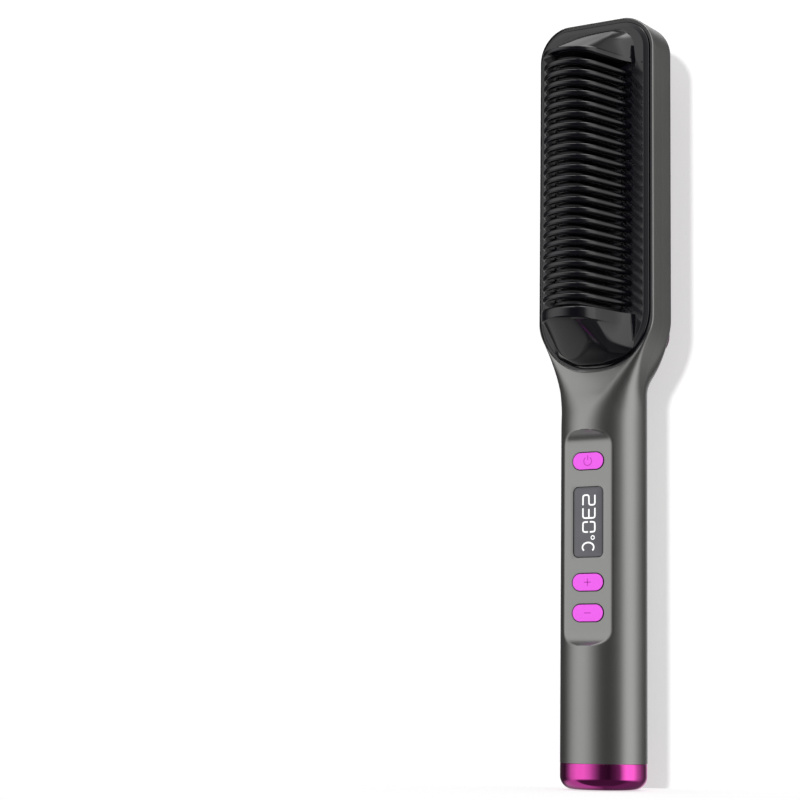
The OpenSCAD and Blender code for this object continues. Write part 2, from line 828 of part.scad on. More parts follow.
module end_cap() {
    color(c_pink) difference() {
        union() {
            rotate_extrude($fn = 96) {
                square([handle_r - cap_edge_r, cap_h]);
                translate([0, cap_edge_r]) square([handle_r, cap_h - cap_edge_r]);
                translate([handle_r - cap_edge_r, cap_edge_r]) intersection() {
                    circle(r = cap_edge_r, $fn = 64);
                    translate([0, -cap_edge_r]) square(cap_edge_r + 1);
                }
            }
            translate([0, 0, cap_h - small]) cylinder(r = collar_r, h = collar_h, $fn = 96);
        }
        translate([0, 0, cap_floor]) cylinder(r = cap_inner_r, h = cap_h + collar_h, $fn = 96);
        translate([0, 0, -1]) cylinder(r = gland_neck_r + run_gap, h = cap_h, $fn = 96);
    }
    color(c_pink) retainer_boss_places() translate([0, 0, cap_floor - small]) difference() {
        cylinder(r = retainer_boss_r, h = retainer_z - cap_floor + small, $fn = 24);
        cylinder(r = retainer_screw_r + 0.05, h = cap_h, $fn = 16);
    }
}

module retainer_boss_places() {
    for (a = [0, 180]) rotate([0, 0, a]) translate([boss_circle_r, 0, 0]) children();
}

// Swivelling gland: a bush that turns in the end cap's floor, with the cord's bore through it.
module cord_gland() {
    color(c_black) difference() {
        union() {
            cylinder(r = gland_neck_r, h = cap_floor + float_gap + small, $fn = 96);
            translate([0, 0, cap_floor + float_gap])
                cylinder(r = gland_flange_r, h = gland_flange_t, $fn = 96);
            cylinder(r = gland_tube_r, h = gland_l, $fn = 96);
        }
        translate([0, 0, -1]) cylinder(r = gland_bore_d / 2, h = gland_l + 2, $fn = 96);
    }
}

module gland_retainer() {
    color(c_metal) translate([0, 0, retainer_z]) difference() {
        cylinder(r = cap_inner_r - screw_gap, h = retainer_t, $fn = 96);
        translate([0, 0, -1]) cylinder(r = gland_tube_r + retainer_gap, h = retainer_t + 2, $fn = 96);
        retainer_boss_places() translate([0, 0, -1])
            cylinder(r = retainer_screw_r + 0.2, h = retainer_t + 2, $fn = 16);
    }
}

// A pan-head screw whose head stands on its origin and whose shank goes down -Z.
module screw(shank_r, head_r, head_t, l) {
    translate([0, 0, -l]) cylinder(r = shank_r, h = l + small, $fn = 24);
    cylinder(r = head_r, h = head_t, $fn = 24);
}

module retainer_screws() {
    color(c_metal) retainer_boss_places() translate([0, 0, retainer_z + retainer_t])
        screw(retainer_screw_r, cap_screw_head_r, cap_screw_head_t, retainer_t + cap_grip);
}

module comb_screws() {
    color(c_metal) comb_screw_places() translate([0, -base_back, 0]) rotate([-90, 0, 0])
        screw(screw_r, screw_head_r, screw_head_t, panel_face + guard_grip - base_back);
}

module housing_screws() {
    color(c_metal) housing_boss_places() translate([0, screw_seat, 0]) rotate([-90, 0, 0])
        screw(screw_r, screw_head_r, screw_head_t, screw_seat + front_inner - 2);
}

module board_screws() {
    color(c_metal) board_post_places() translate([0, -board_back, 0]) rotate([-90, 0, 0])
        screw(board_screw_r, board_screw_head_r, board_screw_head_t, board_t + post_grip);
}

front_housing();
back_housing();
trim_ring();
back_cover();
comb_cover();
heat_gasket();
heating_comb();
heater_elements();
heater_clamp();
insulation_tray();
thermal_fuse();
thermistor();
heater_leads();
sensor_leads();
control_board();
board_header();
display_module();
display_window();
power_button();
plus_button();
minus_button();
power_switch();
plus_switch();
minus_switch();
power_board();
capacitor();
triac();
terminal_block();
end_cap();
cord_gland();
gland_retainer();
retainer_screws();
comb_screws();
housing_screws();
board_screws();
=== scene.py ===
import math

import bmesh
import bpy
import numpy as np
from mathutils import Matrix, Vector


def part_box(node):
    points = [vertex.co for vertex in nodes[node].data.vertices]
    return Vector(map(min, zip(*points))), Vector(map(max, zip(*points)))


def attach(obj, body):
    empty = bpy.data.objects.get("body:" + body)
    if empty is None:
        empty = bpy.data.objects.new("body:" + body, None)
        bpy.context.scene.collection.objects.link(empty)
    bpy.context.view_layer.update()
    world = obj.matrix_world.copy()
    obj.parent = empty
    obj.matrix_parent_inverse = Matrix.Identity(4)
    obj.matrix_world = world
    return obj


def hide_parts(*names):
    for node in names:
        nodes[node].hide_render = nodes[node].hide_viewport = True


# A heated straightening brush. It stands on its end cap: +Z runs up the handle and -Y is the comb side.
# Shapes are worked out in millimetres, and a "depth" is a distance from the handle's axis towards the
# comb side, so it is -y. Meshes are made in metres.
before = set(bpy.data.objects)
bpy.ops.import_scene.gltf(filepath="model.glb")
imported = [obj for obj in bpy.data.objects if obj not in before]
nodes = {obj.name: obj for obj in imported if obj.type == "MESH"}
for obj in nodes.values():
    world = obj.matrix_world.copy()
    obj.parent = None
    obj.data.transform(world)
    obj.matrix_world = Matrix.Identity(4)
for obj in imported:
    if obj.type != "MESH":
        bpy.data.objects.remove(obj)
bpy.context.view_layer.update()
MM = 0.001


# --- View and studio -----------------------------------------------------------------------------------
# The camera stands low in front and a little to the right, as in the photograph. The brush stands on a
# white floor, close in front of a white wall that takes its soft shadow, and a ring of white and dark
# cloths stands round the set, which only its shiny surfaces see.
eye = Vector((0.36112, -0.69396, 0.02614))
yaw, pitch, roll = -0.57162, 0.13736, 0.01407
lens, sensor_w, clip_start = 100.8, 36, 0.01
cloth_white, wall_glow, floor_glow = (0.8, 0.8, 0.8), 0.43, 0.62
wall_gap, wall_half_w, wall_h = 0.0225, 2, 3
floor_half, floor_drop = 3, 0.0002
key_power, key_azimuth, key_elevation, key_spread = 1.6, -18, 5, 5
fill_strength, seen_strength = 0.45, 1.0
ray_kinds = ("camera", "diffuse", "glossy", "transmission", "shadow")


class Socket:
    """An output of a material's node. Python's operators on it add the Math nodes that they name."""

    def __init__(self, finish, output):
        self.finish, self.output = finish, output

    def math(self, operation, *values):
        return self.finish.node("ShaderNodeMath", {"operation": operation}, dict(enumerate(values)))

    def __add__(self, other):
        return self.math("ADD", self, other)

    def __sub__(self, other):
        return self.math("SUBTRACT", self, other)

    def __mul__(self, other):
        return self.math("MULTIPLY", self, other)

    def __rsub__(self, other):
        return self.math("SUBTRACT", other, self)

    def __gt__(self, other):
        return self.math("GREATER_THAN", self, other)

    def __lt__(self, other):
        return self.math("LESS_THAN", self, other)

    def __abs__(self):
        return self.math("ABSOLUTE", self)

    __radd__ = __add__
    __rmul__ = __mul__

    def most(self, other):
        return self.math("MAXIMUM", self, other)

    def wave(self):
        """A triangle wave from 0 to 1 and back, one for each 1 of the value."""
        return abs(self.math("FRACT", self) * 2 - 1)

    def ramp(self, low, high):
        """0 below low, 1 above high, and a straight line between."""
        ends = {"Value": self, "From Min": low, "From Max": high}
        return self.finish.node("ShaderNodeMapRange", {}, ends)


class Finish:
    """A material: constants go on the shader's own sockets, and node() adds what varies."""

    def __init__(self, name, colour, **constants):
        self.material = bpy.data.materials.new(name)
        self.material.use_nodes = True
        self.tree = self.material.node_tree
        self.shader = self.tree.nodes["Principled BSDF"]
        self.shader.inputs["Base Color"].default_value = (*colour, 1)
        self.material.diffuse_color = (*colour, 1)
        for socket, value in constants.items():
            self.shader.inputs[socket.replace("_", " ")].default_value = value

    def node(self, kind, settings, inputs, output=0):
        """Adds a node: its settings first, then the values or links of its sockets."""
        made = self.tree.nodes.new(kind)
        for name, value in settings.items():
            setattr(made, name, value)
        for name, value in inputs.items():
            if isinstance(value, Socket):
                self.tree.links.new(value.output, made.inputs[name])
            else:
                made.inputs[name].default_value = value
        return Socket(self, made.outputs[output])

    def place(self, scale=(1, 1, 1)):
        """The piece's own coordinates in millimetres, each times its scale."""
        point = self.node("ShaderNodeTexCoord", {}, {}, "Object")
        inputs = {"Vector": point, "Scale": tuple(s / MM for s in scale)}
        return self.node("ShaderNodeMapping", {}, inputs)

    def axis(self, place, which):
        return self.node("ShaderNodeSeparateXYZ", {}, {"Vector": place}, which)

    def noise(self, place, scale, detail=2.0):
        """Soft random values about 0.5, in features of about 1 / scale millimetres."""
        inputs = {"Vector": place, "Scale": scale, "Detail": detail}
        return self.node("ShaderNodeTexNoise", {}, inputs)

    def blend(self, share, a, b):
        """A colour that goes from a to b as share goes from 0 to 1."""
        ends = {6: a if isinstance(a, Socket) else (*a, 1), 7: b if isinstance(b, Socket) else (*b, 1)}
        return self.node("ShaderNodeMix", {"data_type": "RGBA"}, {0: share, **ends}, 2)

    def feed(self, socket, value):
        self.tree.links.new(value.output, self.shader.inputs[socket])
        return self

    def bump(self, height, distance, strength=1.0):
        """Fine relief: height in shares of a distance in millimetres."""
        inputs = {"Height": height, "Distance": distance * MM, "Strength": strength}
        return self.feed("Normal", self.node("ShaderNodeBump", {}, inputs))


def srgb(code):
    """A colour as the linear values of its six-digit code."""
    parts = [int(code[i:i + 2], 16) / 255 for i in (0, 2, 4)]
    return tuple(p / 12.92 if p <= 0.04045 else ((p + 0.055) / 1.055) ** 2.4 for p in parts)


forward = Vector((math.sin(yaw) * math.cos(pitch), math.cos(yaw) * math.cos(pitch), math.sin(pitch)))
level = Vector((math.cos(yaw), -math.sin(yaw), 0))
upright = level.cross(forward)
right = level * math.cos(roll) + upright * math.sin(roll)
up = upright * math.cos(roll) - level * math.sin(roll)
camera = bpy.data.objects.new("camera", bpy.data.cameras.new("camera"))
camera.data.lens = lens
camera.data.sensor_width = sensor_w
camera.data.clip_start = clip_start
camera.matrix_world = Matrix.Translation(eye) @ Matrix((right, up, -forward)).transposed().to_4x4()
bpy.context.scene.collection.objects.link(camera)
bpy.context.scene.camera = camera
bpy.context.scene.view_settings.view_transform = "Standard"
camera_turn = math.atan2(eye.y, eye.x)


def stage_mesh(name, points, faces, finish, seen_by):
    """A mesh of the set, seen by the named kinds of rays only."""
    mesh = bpy.data.meshes.new(name)
    mesh.from_pydata(points, [], faces)
    mesh.materials.append(finish.material)
    made = bpy.data.objects.new(name, mesh)
    for kind in ray_kinds:
        setattr(made, "visible_" + kind, kind in seen_by)
    bpy.context.scene.collection.objects.link(made)
    return made


def white_cloth(name, glow):
    """White cloth that the lamps light and shade, with a glow that only lights its own picture."""
    cloth = Finish(name, cloth_white, Roughness=0.9, Specular_IOR_Level=0.0, Emission_Strength=glow)
    camera_ray, glossy_ray, transmission_ray = (cloth.node("ShaderNodeLightPath", {}, {}, f"Is {kind} Ray")
                                                for kind in ("Camera", "Glossy", "Transmission"))
    seen = camera_ray.most(glossy_ray).most(transmission_ray)
    return cloth.feed("Emission Color", cloth.blend(seen, (0, 0, 0), (1, 1, 1)))


# The wall's face is towards the camera, and from behind it isn't there.
wall_cloth = white_cloth("wall_cloth", wall_glow)
behind = wall_cloth.node("ShaderNodeNewGeometry", {}, {}, "Backfacing")
clear = wall_cloth.node("ShaderNodeBsdfTransparent", {}, {})
front_side = Socket(wall_cloth, wall_cloth.shader.outputs[0])
either = wall_cloth.node("ShaderNodeMixShader", {}, {0: behind, 1: front_side, 2: clear})
wall_cloth.tree.links.new(either.output, wall_cloth.tree.nodes["Material Output"].inputs["Surface"])
away = Vector((-eye.x, -eye.y, 0)).normalized()
wall_foot = away * wall_gap
wall_run = away.cross(Vector((0, 0, 1))) * wall_half_w
wall_ends = [wall_foot - wall_run, wall_foot + wall_run]
wall_ends += [end + Vector((0, 0, wall_h)) for end in reversed(wall_ends)]
stage_mesh("wall", wall_ends, [(0, 1, 2, 3)], wall_cloth, seen_by=("camera",))
floor_ends = [(x * floor_half, y * floor_half, -floor_drop) for x, y in ((-1, -1), (1, -1), (1, 1), (-1, 1))]
stage_mesh("floor", floor_ends, [(0, 1, 2, 3)], white_cloth("floor_cloth", floor_glow),
           seen_by=("camera", "diffuse", "shadow"))

# Tones of the ring of cloths, by the angle in degrees to the right of the camera: level with the brush,
# and at steep angles from above and below, which only the comb's ribs and slopes show.
level_tones = [(-180, 0.5), (-172, 0.3), (-160, 0.04), (-122, 0.03), (-108, 0.2), (-96, 0.55), (-76, 0.88),
               (-54, 0.9), (-40, 0.68), (-28, 0.38), (-18, 0.18), (-8, 0.04), (14, 0.02), (30, 0.07),
               (43, 0.15), (52, 0.7), (62, 1.15), (84, 1.1), (100, 0.5), (118, 0.19), (134, 0.06),
               (144, 0.1), (158, 0.6), (170, 0.9), (180, 0.5)]
high_tones = [(-180, 0.15), (-84, 0.15), (-68, 1.7), (-40, 1.8), (-24, 2.6), (6, 2.6), (18, 0.5), (42, 0.5),
              (56, 3.0), (104, 3.0), (120, 0.3), (180, 0.15)]
low_tones = [(-180, 0.1), (-140, 0.4), (-88, 0.4), (-76, 0.05), (60, 0.05), (80, 0.12), (110, 0.12),
             (180, 0.08)]
top_tones, foot_tones = [(-180, 0.8), (180, 0.8)], [(-180, 0.1), (180, 0.1)]

# The ring's rows as radius, height and tones: it closes in a cone below the floor and over the set.
ring_r, pole_r = 1.5, 0.01
ring_rows = [(pole_r, -4, foot_tones), (ring_r, -4, low_tones), (ring_r, -0.75, low_tones),
             (ring_r, -0.4, level_tones), (ring_r, 2.3, level_tones), (ring_r, 3.6, high_tones),
             (ring_r, 9, top_tones), (pole_r, 9, top_tones)]
ring_cloth = Finish("ring_cloth", (0, 0, 0), Specular_IOR_Level=0.0, Emission_Strength=1.0)
tone = ring_cloth.node("ShaderNodeAttribute", {"attribute_name": "tone"}, {}, "Color")
ring_cloth.feed("Emission Color", tone)
turns = np.radians(np.arange(-180, 181, 2))
ring_points = [(r * math.cos(a + camera_turn), r * math.sin(a + camera_turn), z)
               for r, z, _ in ring_rows for a in turns]
steps = len(turns)
ring_faces = [(i, i + 1, steps + i + 1, steps + i)
              for i in range(steps * (len(ring_rows) - 1)) if (i + 1) % steps]
ring = stage_mesh("ring", ring_points, ring_faces, ring_cloth, seen_by=("glossy",))
shades = np.ones((len(ring_points), 4))
tones = [np.interp(np.degrees(turns), *zip(*row_tones)) for *_, row_tones in ring_rows]
shades[:, :3] = np.concatenate(tones)[:, None]
ring.data.attributes.new("tone", "FLOAT_COLOR", "POINT").data.foreach_set("color", shades.ravel())


# One soft lamp, to the left of the camera and low, which throws the brush's shadow on the wall.
key = bpy.data.objects.new("key", bpy.data.lights.new("key", "SUN"))
key.data.energy = key_power
key.data.angle = math.radians(key_spread)
a, e = math.radians(key_azimuth) + camera_turn, math.radians(key_elevation)
key.location = (math.cos(a) * math.cos(e), math.sin(a) * math.cos(e), math.sin(e))
key.rotation_euler = (-key.location).to_track_quat("-Z", "Z").to_euler()
key.visible_camera = key.visible_glossy = False
bpy.context.scene.collection.objects.link(key)

# The world fills in the shadows, and rays that make a picture see it as plain white.
world = bpy.data.worlds.new("studio")
bpy.context.scene.world = world
world.use_nodes = True
sky = world.node_tree
rays = sky.nodes.new("ShaderNodeLightPath")
backgrounds = [sky.nodes["Background"], sky.nodes.new("ShaderNodeBackground")]
for background, strength in zip(backgrounds, (fill_strength, seen_strength)):
    background.inputs["Color"].default_value = (1, 1, 1, 1)
    background.inputs["Strength"].default_value = strength
seen = rays.outputs["Is Camera Ray"]
for kind in ("Glossy", "Transmission"):
    either = sky.nodes.new("ShaderNodeMath")
    either.operation = "MAXIMUM"
    sky.links.new(seen, either.inputs[0])
    sky.links.new(rays.outputs[f"Is {kind} Ray"], either.inputs[1])
    seen = either.outputs[0]
choice = sky.nodes.new("ShaderNodeMixShader")
sky.links.new(seen, choice.inputs[0])
for slot, background in enumerate(backgrounds):
    sky.links.new(background.outputs[0], choice.inputs[slot + 1])
sky.links.new(choice.outputs[0], sky.nodes["World Output"].inputs["Surface"])


# --- Front housing -------------------------------------------------------------------------------------
# The front half of the handle and head, moulded in one with the scooped recess for the controls, and
# painted in satin gunmetal. It carries the cover of the comb on a low seat round a large opening.
cap_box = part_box("end_cap")
front_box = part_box("front_housing")
handle_r = cap_box[1].x / MM
cap_h = front_box[0].z / MM
top_z = front_box[1].z / MM
head_half = front_box[1].x / MM
wall_t = 2.2
neck_z, shoulder_z = 136.0, 162.5
front_neck_z, edge_end_z, fall_start_z, fall_end_z = 126.0, 151.0, 124.0, 151.0
head_front, head_back = 7.2, 9.0
head_corner_r = 12.0
front_edge_r, back_edge_r = 0.8, 2.4
shoulder_lean = 0.34
seam_bevel = 0.008
recess_half_w, recess_low_z, recess_top_z, recess_end_r = 9.2, 48.6, 122.7, 6.0
recess_floor = math.sqrt(handle_r**2 - recess_half_w**2)
recess_back = recess_floor - wall_t
rim_r, least_r, out_of_reach = 0.5, 0.3, 1000
panel_half_w, panel_low_z, panel_top_z, panel_low_r, panel_top_r = 22.1, 143.8, 269.4, 21.0, 11.4
panel_seat, panel_face = 6.3, 7.9
set_gap = 0.15
comb_low_z, comb_top_z = 162.8, 252.56
comb_mid, comb_half_l = (comb_low_z + comb_top_z) / 2, (comb_top_z - comb_low_z) / 2
opening_half_w, opening_r, end_slot = 15.3, 0.5, 3.0
button_half = (5.85, 2.9)
button_heights = {"power": 112.1, "plus": 70.3, "minus": 59.8}
button_gap = 0.25
window_half, window_z, window_r, ledge_w = (5.65, 12.1), 91.0, 2.0, 1.0
window_seat = recess_floor - 1.4
trim_low_z, trim_inner = 138.0, 5.8


def ease(t):
    """Smooth step: 0 below 0, 1 above 1, and 3t2 - 2t3 between."""
    t = np.clip(t, 0, 1)
    return t * t * (3 - 2 * t)


def mix(a, b, t):
    """The value a share t of the way from a to b."""
    return a + (b - a) * t


def quarter(s, r):
    """Fall of a quarter round of radius r at distance s past its start: r less the root of r2 - s2."""
    s = np.clip(s, 0, r)
    return r - np.sqrt(r * r - s * s)


def soft_min(a, b, k):
    """The lower of two values, rounded over a width k where they meet."""
    h = np.clip(0.5 + 0.5 * (b - a) / k, 0, 1)
    return mix(b, a, h) - k * h * (1 - h)


def headness(z):
    return ease((z - neck_z) / (shoulder_z - neck_z))


def level_size(z, front):
    """Half width, depth and edge radius of the body at height z: the round handle eases into the head,
    and at the top the width falls by a quarter round of the corner, the depth by one of the edge."""
    half = mix(handle_r, head_half, headness(z)) - quarter(z - (top_z - head_corner_r), head_corner_r)
    if front:
        fall = ease((z - fall_start_z) / (fall_end_z - fall_start_z))
        edge = mix(handle_r, front_edge_r, ease((z - front_neck_z) / (edge_end_z - front_neck_z)))
        depth = mix(handle_r, head_front, fall) - quarter(z - (top_z - front_edge_r), front_edge_r)
    else:
        edge = mix(handle_r, back_edge_r, headness(z))
        depth = mix(handle_r, head_back, headness(z)) - quarter(z - (top_z - back_edge_r), back_edge_r)
    return half, depth, edge


def inset_size(z, front, inset):
    """The same sizes for a surface inset below the outside, whose radius stays within its depth."""
    half, depth, edge = level_size(z, front)
    half, depth = half - inset, depth - inset
    return half, depth, np.maximum(least_r, np.minimum(edge - inset, depth - 0.02))


def lean(z):
    """Slant of a level in the shoulder: the squared sine of how far z is through it."""
    return shoulder_lean * np.sin(np.pi * np.clip((z - neck_z) / (shoulder_z - neck_z), 0, 1)) ** 2


def scoop(z):
    """Depth of the recess's floor at height z: flat, curved up at both ends on a quarter round, and out
    of reach beyond them."""
    rise = math.sqrt(recess_end_r**2 - (recess_end_r - (handle_r - recess_floor)) ** 2)
    past = np.maximum(recess_low_z + rise - z, z - (recess_top_z - rise))
    return recess_floor + quarter(past, recess_end_r) + out_of_reach * (past >= recess_end_r)


def body_grid(z, share, front, inset=0.0):
    """Points of one half of the body, inset below its outside: rows are heights, and columns run from
    the parting edge at +X (share 0) over the face to the one at -X (share 1). Each level is a half
    rounded rectangle. On the handle the columns are even in angle, and on the head they keep to its
    sides, edges and face. In the shoulder each level leans."""
    z = z[:, None]
    half, depth, r = inset_size(z, front, inset)
    side, arc, face = depth - r, r * np.pi / 2, half - r
    m = np.minimum(share, 1 - share)[None, :]
    kept = side * np.clip(m / side_share, 0, 1) + face * np.clip((m - edge_share) / (0.5 - edge_share), 0, 1)
    kept = kept + arc * np.clip((m - side_share) / (edge_share - side_share), 0, 1)
    even = 2 * m * (side + arc + face)
    s = mix(even, kept, ease((z - front_neck_z) / (edge_end_z - front_neck_z)))
    a = np.clip((s - side) / r, 0, np.pi / 2)
    x = (half - r + r * np.cos(a) - np.maximum(s - side - arc, 0)) * np.where(share <= 0.5, 1, -1)
    d = np.clip(s, 0, side) + r * np.sin(a)
    if front and inset == 0:
        d = soft_min(d, scoop(z), rim_r)
    elif front:
        inside = (z > recess_low_z - wall_t) & (z < recess_top_z + wall_t)
        d = np.where(inside, np.minimum(d, recess_back), d)
    elif inset:
        d = np.where(z > trim_low_z, np.minimum(d, trim_inner), d)
    way = 1 if front else -1
    return np.stack([x, -way * d, z + way * lean(z) * d], -1)


def body_depth(x, z, front, inset=0.0):
    """Depth of the body's surface at x and true height z. The level that leans through the point is
    found by repeating z less its lean times its depth."""
    way = 1 if front else -1
    at, d = z, np.zeros_like(x)
    for _ in range(12):
        half, depth, r = inset_size(at, front, inset)
        d = depth - quarter(np.abs(x) - (half - r), r)
        at = z - way * lean(at) * d
    return d


def rounded_outline(corners, count=None, sides=None):
    """A closed outline with rounded corners (x, z, radius), anticlockwise: each arc touches both its
    edges, and its centre lies on their bisector. It comes as count points evenly spaced, or with
    sides as (across, along) points on the four sides, which are parted at the arcs' middles."""
    corners = np.array(corners, float)
    path, middles = [], []
    for k, (x, z, r) in enumerate(corners):
        c = np.array([x, z])
        a = corners[k - 1][:2] - c
        b = corners[(k + 1) % len(corners)][:2] - c
        a, b = a / np.hypot(*a), b / np.hypot(*b)
        half = math.acos(np.dot(a, b)) / 2
        middle = (a + b) / np.hypot(*(a + b))
        centre = c + middle * r / math.sin(half)
        start = math.atan2(-middle[1], -middle[0]) - (math.pi / 2 - half)
        turn = start + (math.pi - 2 * half) * np.linspace(0, 1, 33)
        middles.append(len(path) * 33 + 16)
        path.append(centre + r * np.stack([np.cos(turn), np.sin(turn)], -1))
    path = np.concatenate(path)
    if sides:
        path = np.roll(path, -middles[0], 0)
        middles = [m - middles[0] for m in middles] + [len(path)]
    path = np.concatenate([path, path[:1]])
    along = np.concatenate([[0], np.cumsum(np.hypot(*np.diff(path, axis=0).T))])
    if sides:
        cuts = [along[m] for m in middles]
        stops = np.concatenate([np.linspace(cuts[k], cuts[k + 1], sides[k % 2], endpoint=False)
                                for k in range(4)])
    else:
        stops = np.linspace(0, along[-1], count, endpoint=False)
    return np.stack([np.interp(stops, along, path[:, i]) for i in range(2)], -1)


def inset_by(outline, t):
    """An anticlockwise closed outline moved inwards by t along its normals."""
    along = np.roll(outline, -1, 0) - np.roll(outline, 1, 0)
    along = along / np.hypot(*along.T)[:, None]
    return outline + t * np.stack([-along[:, 1], along[:, 0]], -1)


def nearest(points, outline):
    """For each point the nearest one of a dense outline."""
    gaps = np.hypot(points[:, None, 0] - outline[None, :, 0], points[:, None, 1] - outline[None, :, 1])
    return outline[np.argmin(gaps, 1)]


def lift(outline, depth):
    """Points of a flat outline (x, z) set at a depth."""
    y = np.broadcast_to(-np.asarray(depth, float), len(outline))
    return np.stack([outline[:, 0], y, outline[:, 1]], -1)


def rim(grid, block):
    """The closed loop of a grid's points round a block of its cells: rows and columns from and to."""
    r0, r1, c0, c1 = block
    return np.concatenate([grid[r0, c0:c1], grid[r0:r1, c1], grid[r1, c1:c0:-1], grid[r1:r0:-1, c0]])


def across_surface(start, end, front, inset, shares):
    """Loops on the body's surface between two flat outlines that have the same count of points."""
    loops = []
    for t in shares:
        ring = mix(start, end, t)
        depth = body_depth(ring[:, 0], ring[:, 1], front, inset)
        loops.append(lift(ring, depth if front else -depth))
    return loops


class Shape:
    """Patches of a surface, in millimetres, that meet point to point and are welded into one mesh."""

    def __init__(self):
        self.points, self.faces, self.count = [], [], 0

    def sheet(self, grid, keep=None, closed=False):
        """Quads over a grid of points: keep says which cells are there, closed joins its two ends."""
        rows, columns = grid.shape[:2]
        index = np.arange(rows * columns).reshape(rows, columns) + self.count
        if closed:
            index = np.hstack([index, index[:, :1]])
        quads = np.stack([index[:-1, :-1], index[:-1, 1:], index[1:, 1:], index[1:, :-1]], -1)
        quads = quads.reshape(-1, 4) if keep is None else quads[keep]
        self.points.append(grid.reshape(-1, 3))
        self.faces += quads.tolist()
        self.count += rows * columns

    def rings(self, loops, low=False, top=False):
        """A sleeve through closed loops that have the same count, with its first or last one filled."""
        self.sheet(np.stack(loops), closed=True)
        for filled, loop in ((low, loops[0]), (top, loops[-1])):
            if filled:
                self.face(loop)

    def face(self, loop):
        """One flat face round a loop."""
        self.points.append(np.asarray(loop, float))
        self.faces.append(list(range(self.count, self.count + len(loop))))
        self.count += len(loop)

    def piece(self, name, finish, body="body", stands_for=(), slot=None, crease=32):
        """Welds the patches, turns every face outwards and makes the piece, which rides on its body."""
        mesh = bpy.data.meshes.new(name)
        mesh.from_pydata((np.concatenate(self.points) * MM).tolist(), [], self.faces)
        work = bmesh.new()
        work.from_mesh(mesh)
        bmesh.ops.remove_doubles(work, verts=work.verts, dist=2e-7)
        bmesh.ops.dissolve_degenerate(work, edges=work.edges, dist=2e-7)
        bmesh.ops.recalc_face_normals(work, faces=work.faces)
        work.to_mesh(mesh)
        work.free()
        mesh.shade_smooth()
        mesh.set_sharp_from_angle(angle=math.radians(crease))
        mesh.materials.append(finish.material)
        made = bpy.data.objects.new(name, mesh)
        bpy.context.scene.collection.objects.link(made)
        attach(made, body)
        if stands_for:
            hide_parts(*stands_for)
        return made


def shade(colour, share):
    """A colour made darker or lighter by a share of itself."""
    return tuple(min(1, c * share) for c in colour)


def satin_paint(name, colour):
    """Satin metallic paint: fine flakes that vary its tone a little, a faint orange peel and light
    handling marks in its roughness."""
    made = Finish(name, colour, Metallic=0.92, Coat_Weight=0.08, Coat_Roughness=0.2)
    place = made.place()
    flake = made.noise(place, 7.0, detail=1.0)
    drift = made.noise(place, 0.05, detail=3.0)
    made.feed("Base Color", made.blend(flake * 0.5 + drift * 0.5, shade(colour, 0.9), shade(colour, 1.1)))
    made.feed("Roughness", drift * 0.05 + flake * 0.04 + 0.27)
    return made.bump(made.noise(place, 1.2, detail=2.0), 0.02, 0.12)


gunmetal = satin_paint("satin_gunmetal", srgb("a2a2a0"))

# Columns as angles on the round handle, finer beside the recess's two long edges.
side_angle, edge_angle = 20.0, 45.6
side_share, edge_share = side_angle / 180, edge_angle / 180
hole_half = 7.0
across = np.concatenate([[10.2], np.linspace(9.85, 8.85, 12), np.linspace(8.6, 7.4, 4),
                         np.linspace(hole_half, 0.4, 18)])
angles = np.concatenate([[0, 0.6, 4, 8, 12, 16], np.linspace(side_angle, edge_angle, 9),
                         np.degrees(np.arccos(across / handle_r)), [90]])
share = np.concatenate([angles, 180 - angles[-2::-1]]) / 180
hole_columns = [int(np.argmin(np.abs(np.cos(np.pi * share) * handle_r - x))) for x in (hole_half, -hole_half)]

# Rows as heights, finer at the recess's curved ends and at the top edge, with one at each hole's margins.
hole_margin = 4.0
stops = {name: (z - hole_margin, z + hole_margin) for name, z in button_heights.items()}
stops["window"] = (window_z - window_half[1] - 1, window_z + window_half[1] + 1)
ends = np.concatenate([np.arange(recess_low_z - 2.4, stops["minus"][0] - 0.1, 0.3),
                       np.arange(stops["power"][1] + 0.3, recess_top_z + 2.4, 0.3)])
middles = np.concatenate([np.linspace(*stops[name], n) for name, n in
                          (("minus", 13), ("plus", 13), ("window", 40), ("power", 13))])
between = np.array([64.6, 65.4, 75.2, 76.4, 105.2, 106.4, 107.4])
low_rows = np.linspace(cap_h, recess_low_z - 3, 12)
neck_rows = np.linspace(front_neck_z, shoulder_z, 64)
head_rows = np.linspace(shoulder_z + 2, top_z - head_corner_r, 22)
corner_rows = top_z - head_corner_r * (1 - np.sin(np.radians(np.linspace(3, 62, 20))))
edge_rows = np.concatenate([top_z - r + r * np.sin(np.radians(np.linspace(0, 90, 9)))
                            for r in (front_edge_r, back_edge_r)])
rows = [low_rows, ends, middles, between, neck_rows, head_rows, corner_rows, edge_rows]
heights = np.unique(np.round(np.concatenate(rows), 4))


def housing_half(front, blocks):
    """The closed shell of one half: its outside, its inside a wall below, the flat edge that meets the
    other half, and gaps in both grids at the blocks of cells that holes take."""
    outer = body_grid(heights, share, front)
    outer[:, [0, -1], 0] -= seam_bevel * np.sign(outer[:, [0, -1], 0])
    squeezed = np.where(heights > top_z - head_corner_r, mix(top_z - head_corner_r, heights,
                        (head_corner_r - wall_t) / head_corner_r), heights)
    inner = body_grid(squeezed, share, front, wall_t)
    shape = Shape()
    for grid, holes in ((outer, blocks[0]), (inner, blocks[1])):
        keep = np.ones((len(heights) - 1, len(share) - 1), bool)
        for r0, r1, c0, c1 in holes:
            keep[r0:r1, c0:c1] = False
        shape.sheet(grid, keep)
        shape.face(grid[-1])
    for column in (0, -1):
        shape.sheet(np.stack([outer[:, column], inner[:, column]], 1))
    shape.sheet(np.stack([outer[0], inner[0]]))
    shape.face([outer[-1, 0], outer[-1, -1], inner[-1, -1], inner[-1, 0]])
    return shape, outer, inner


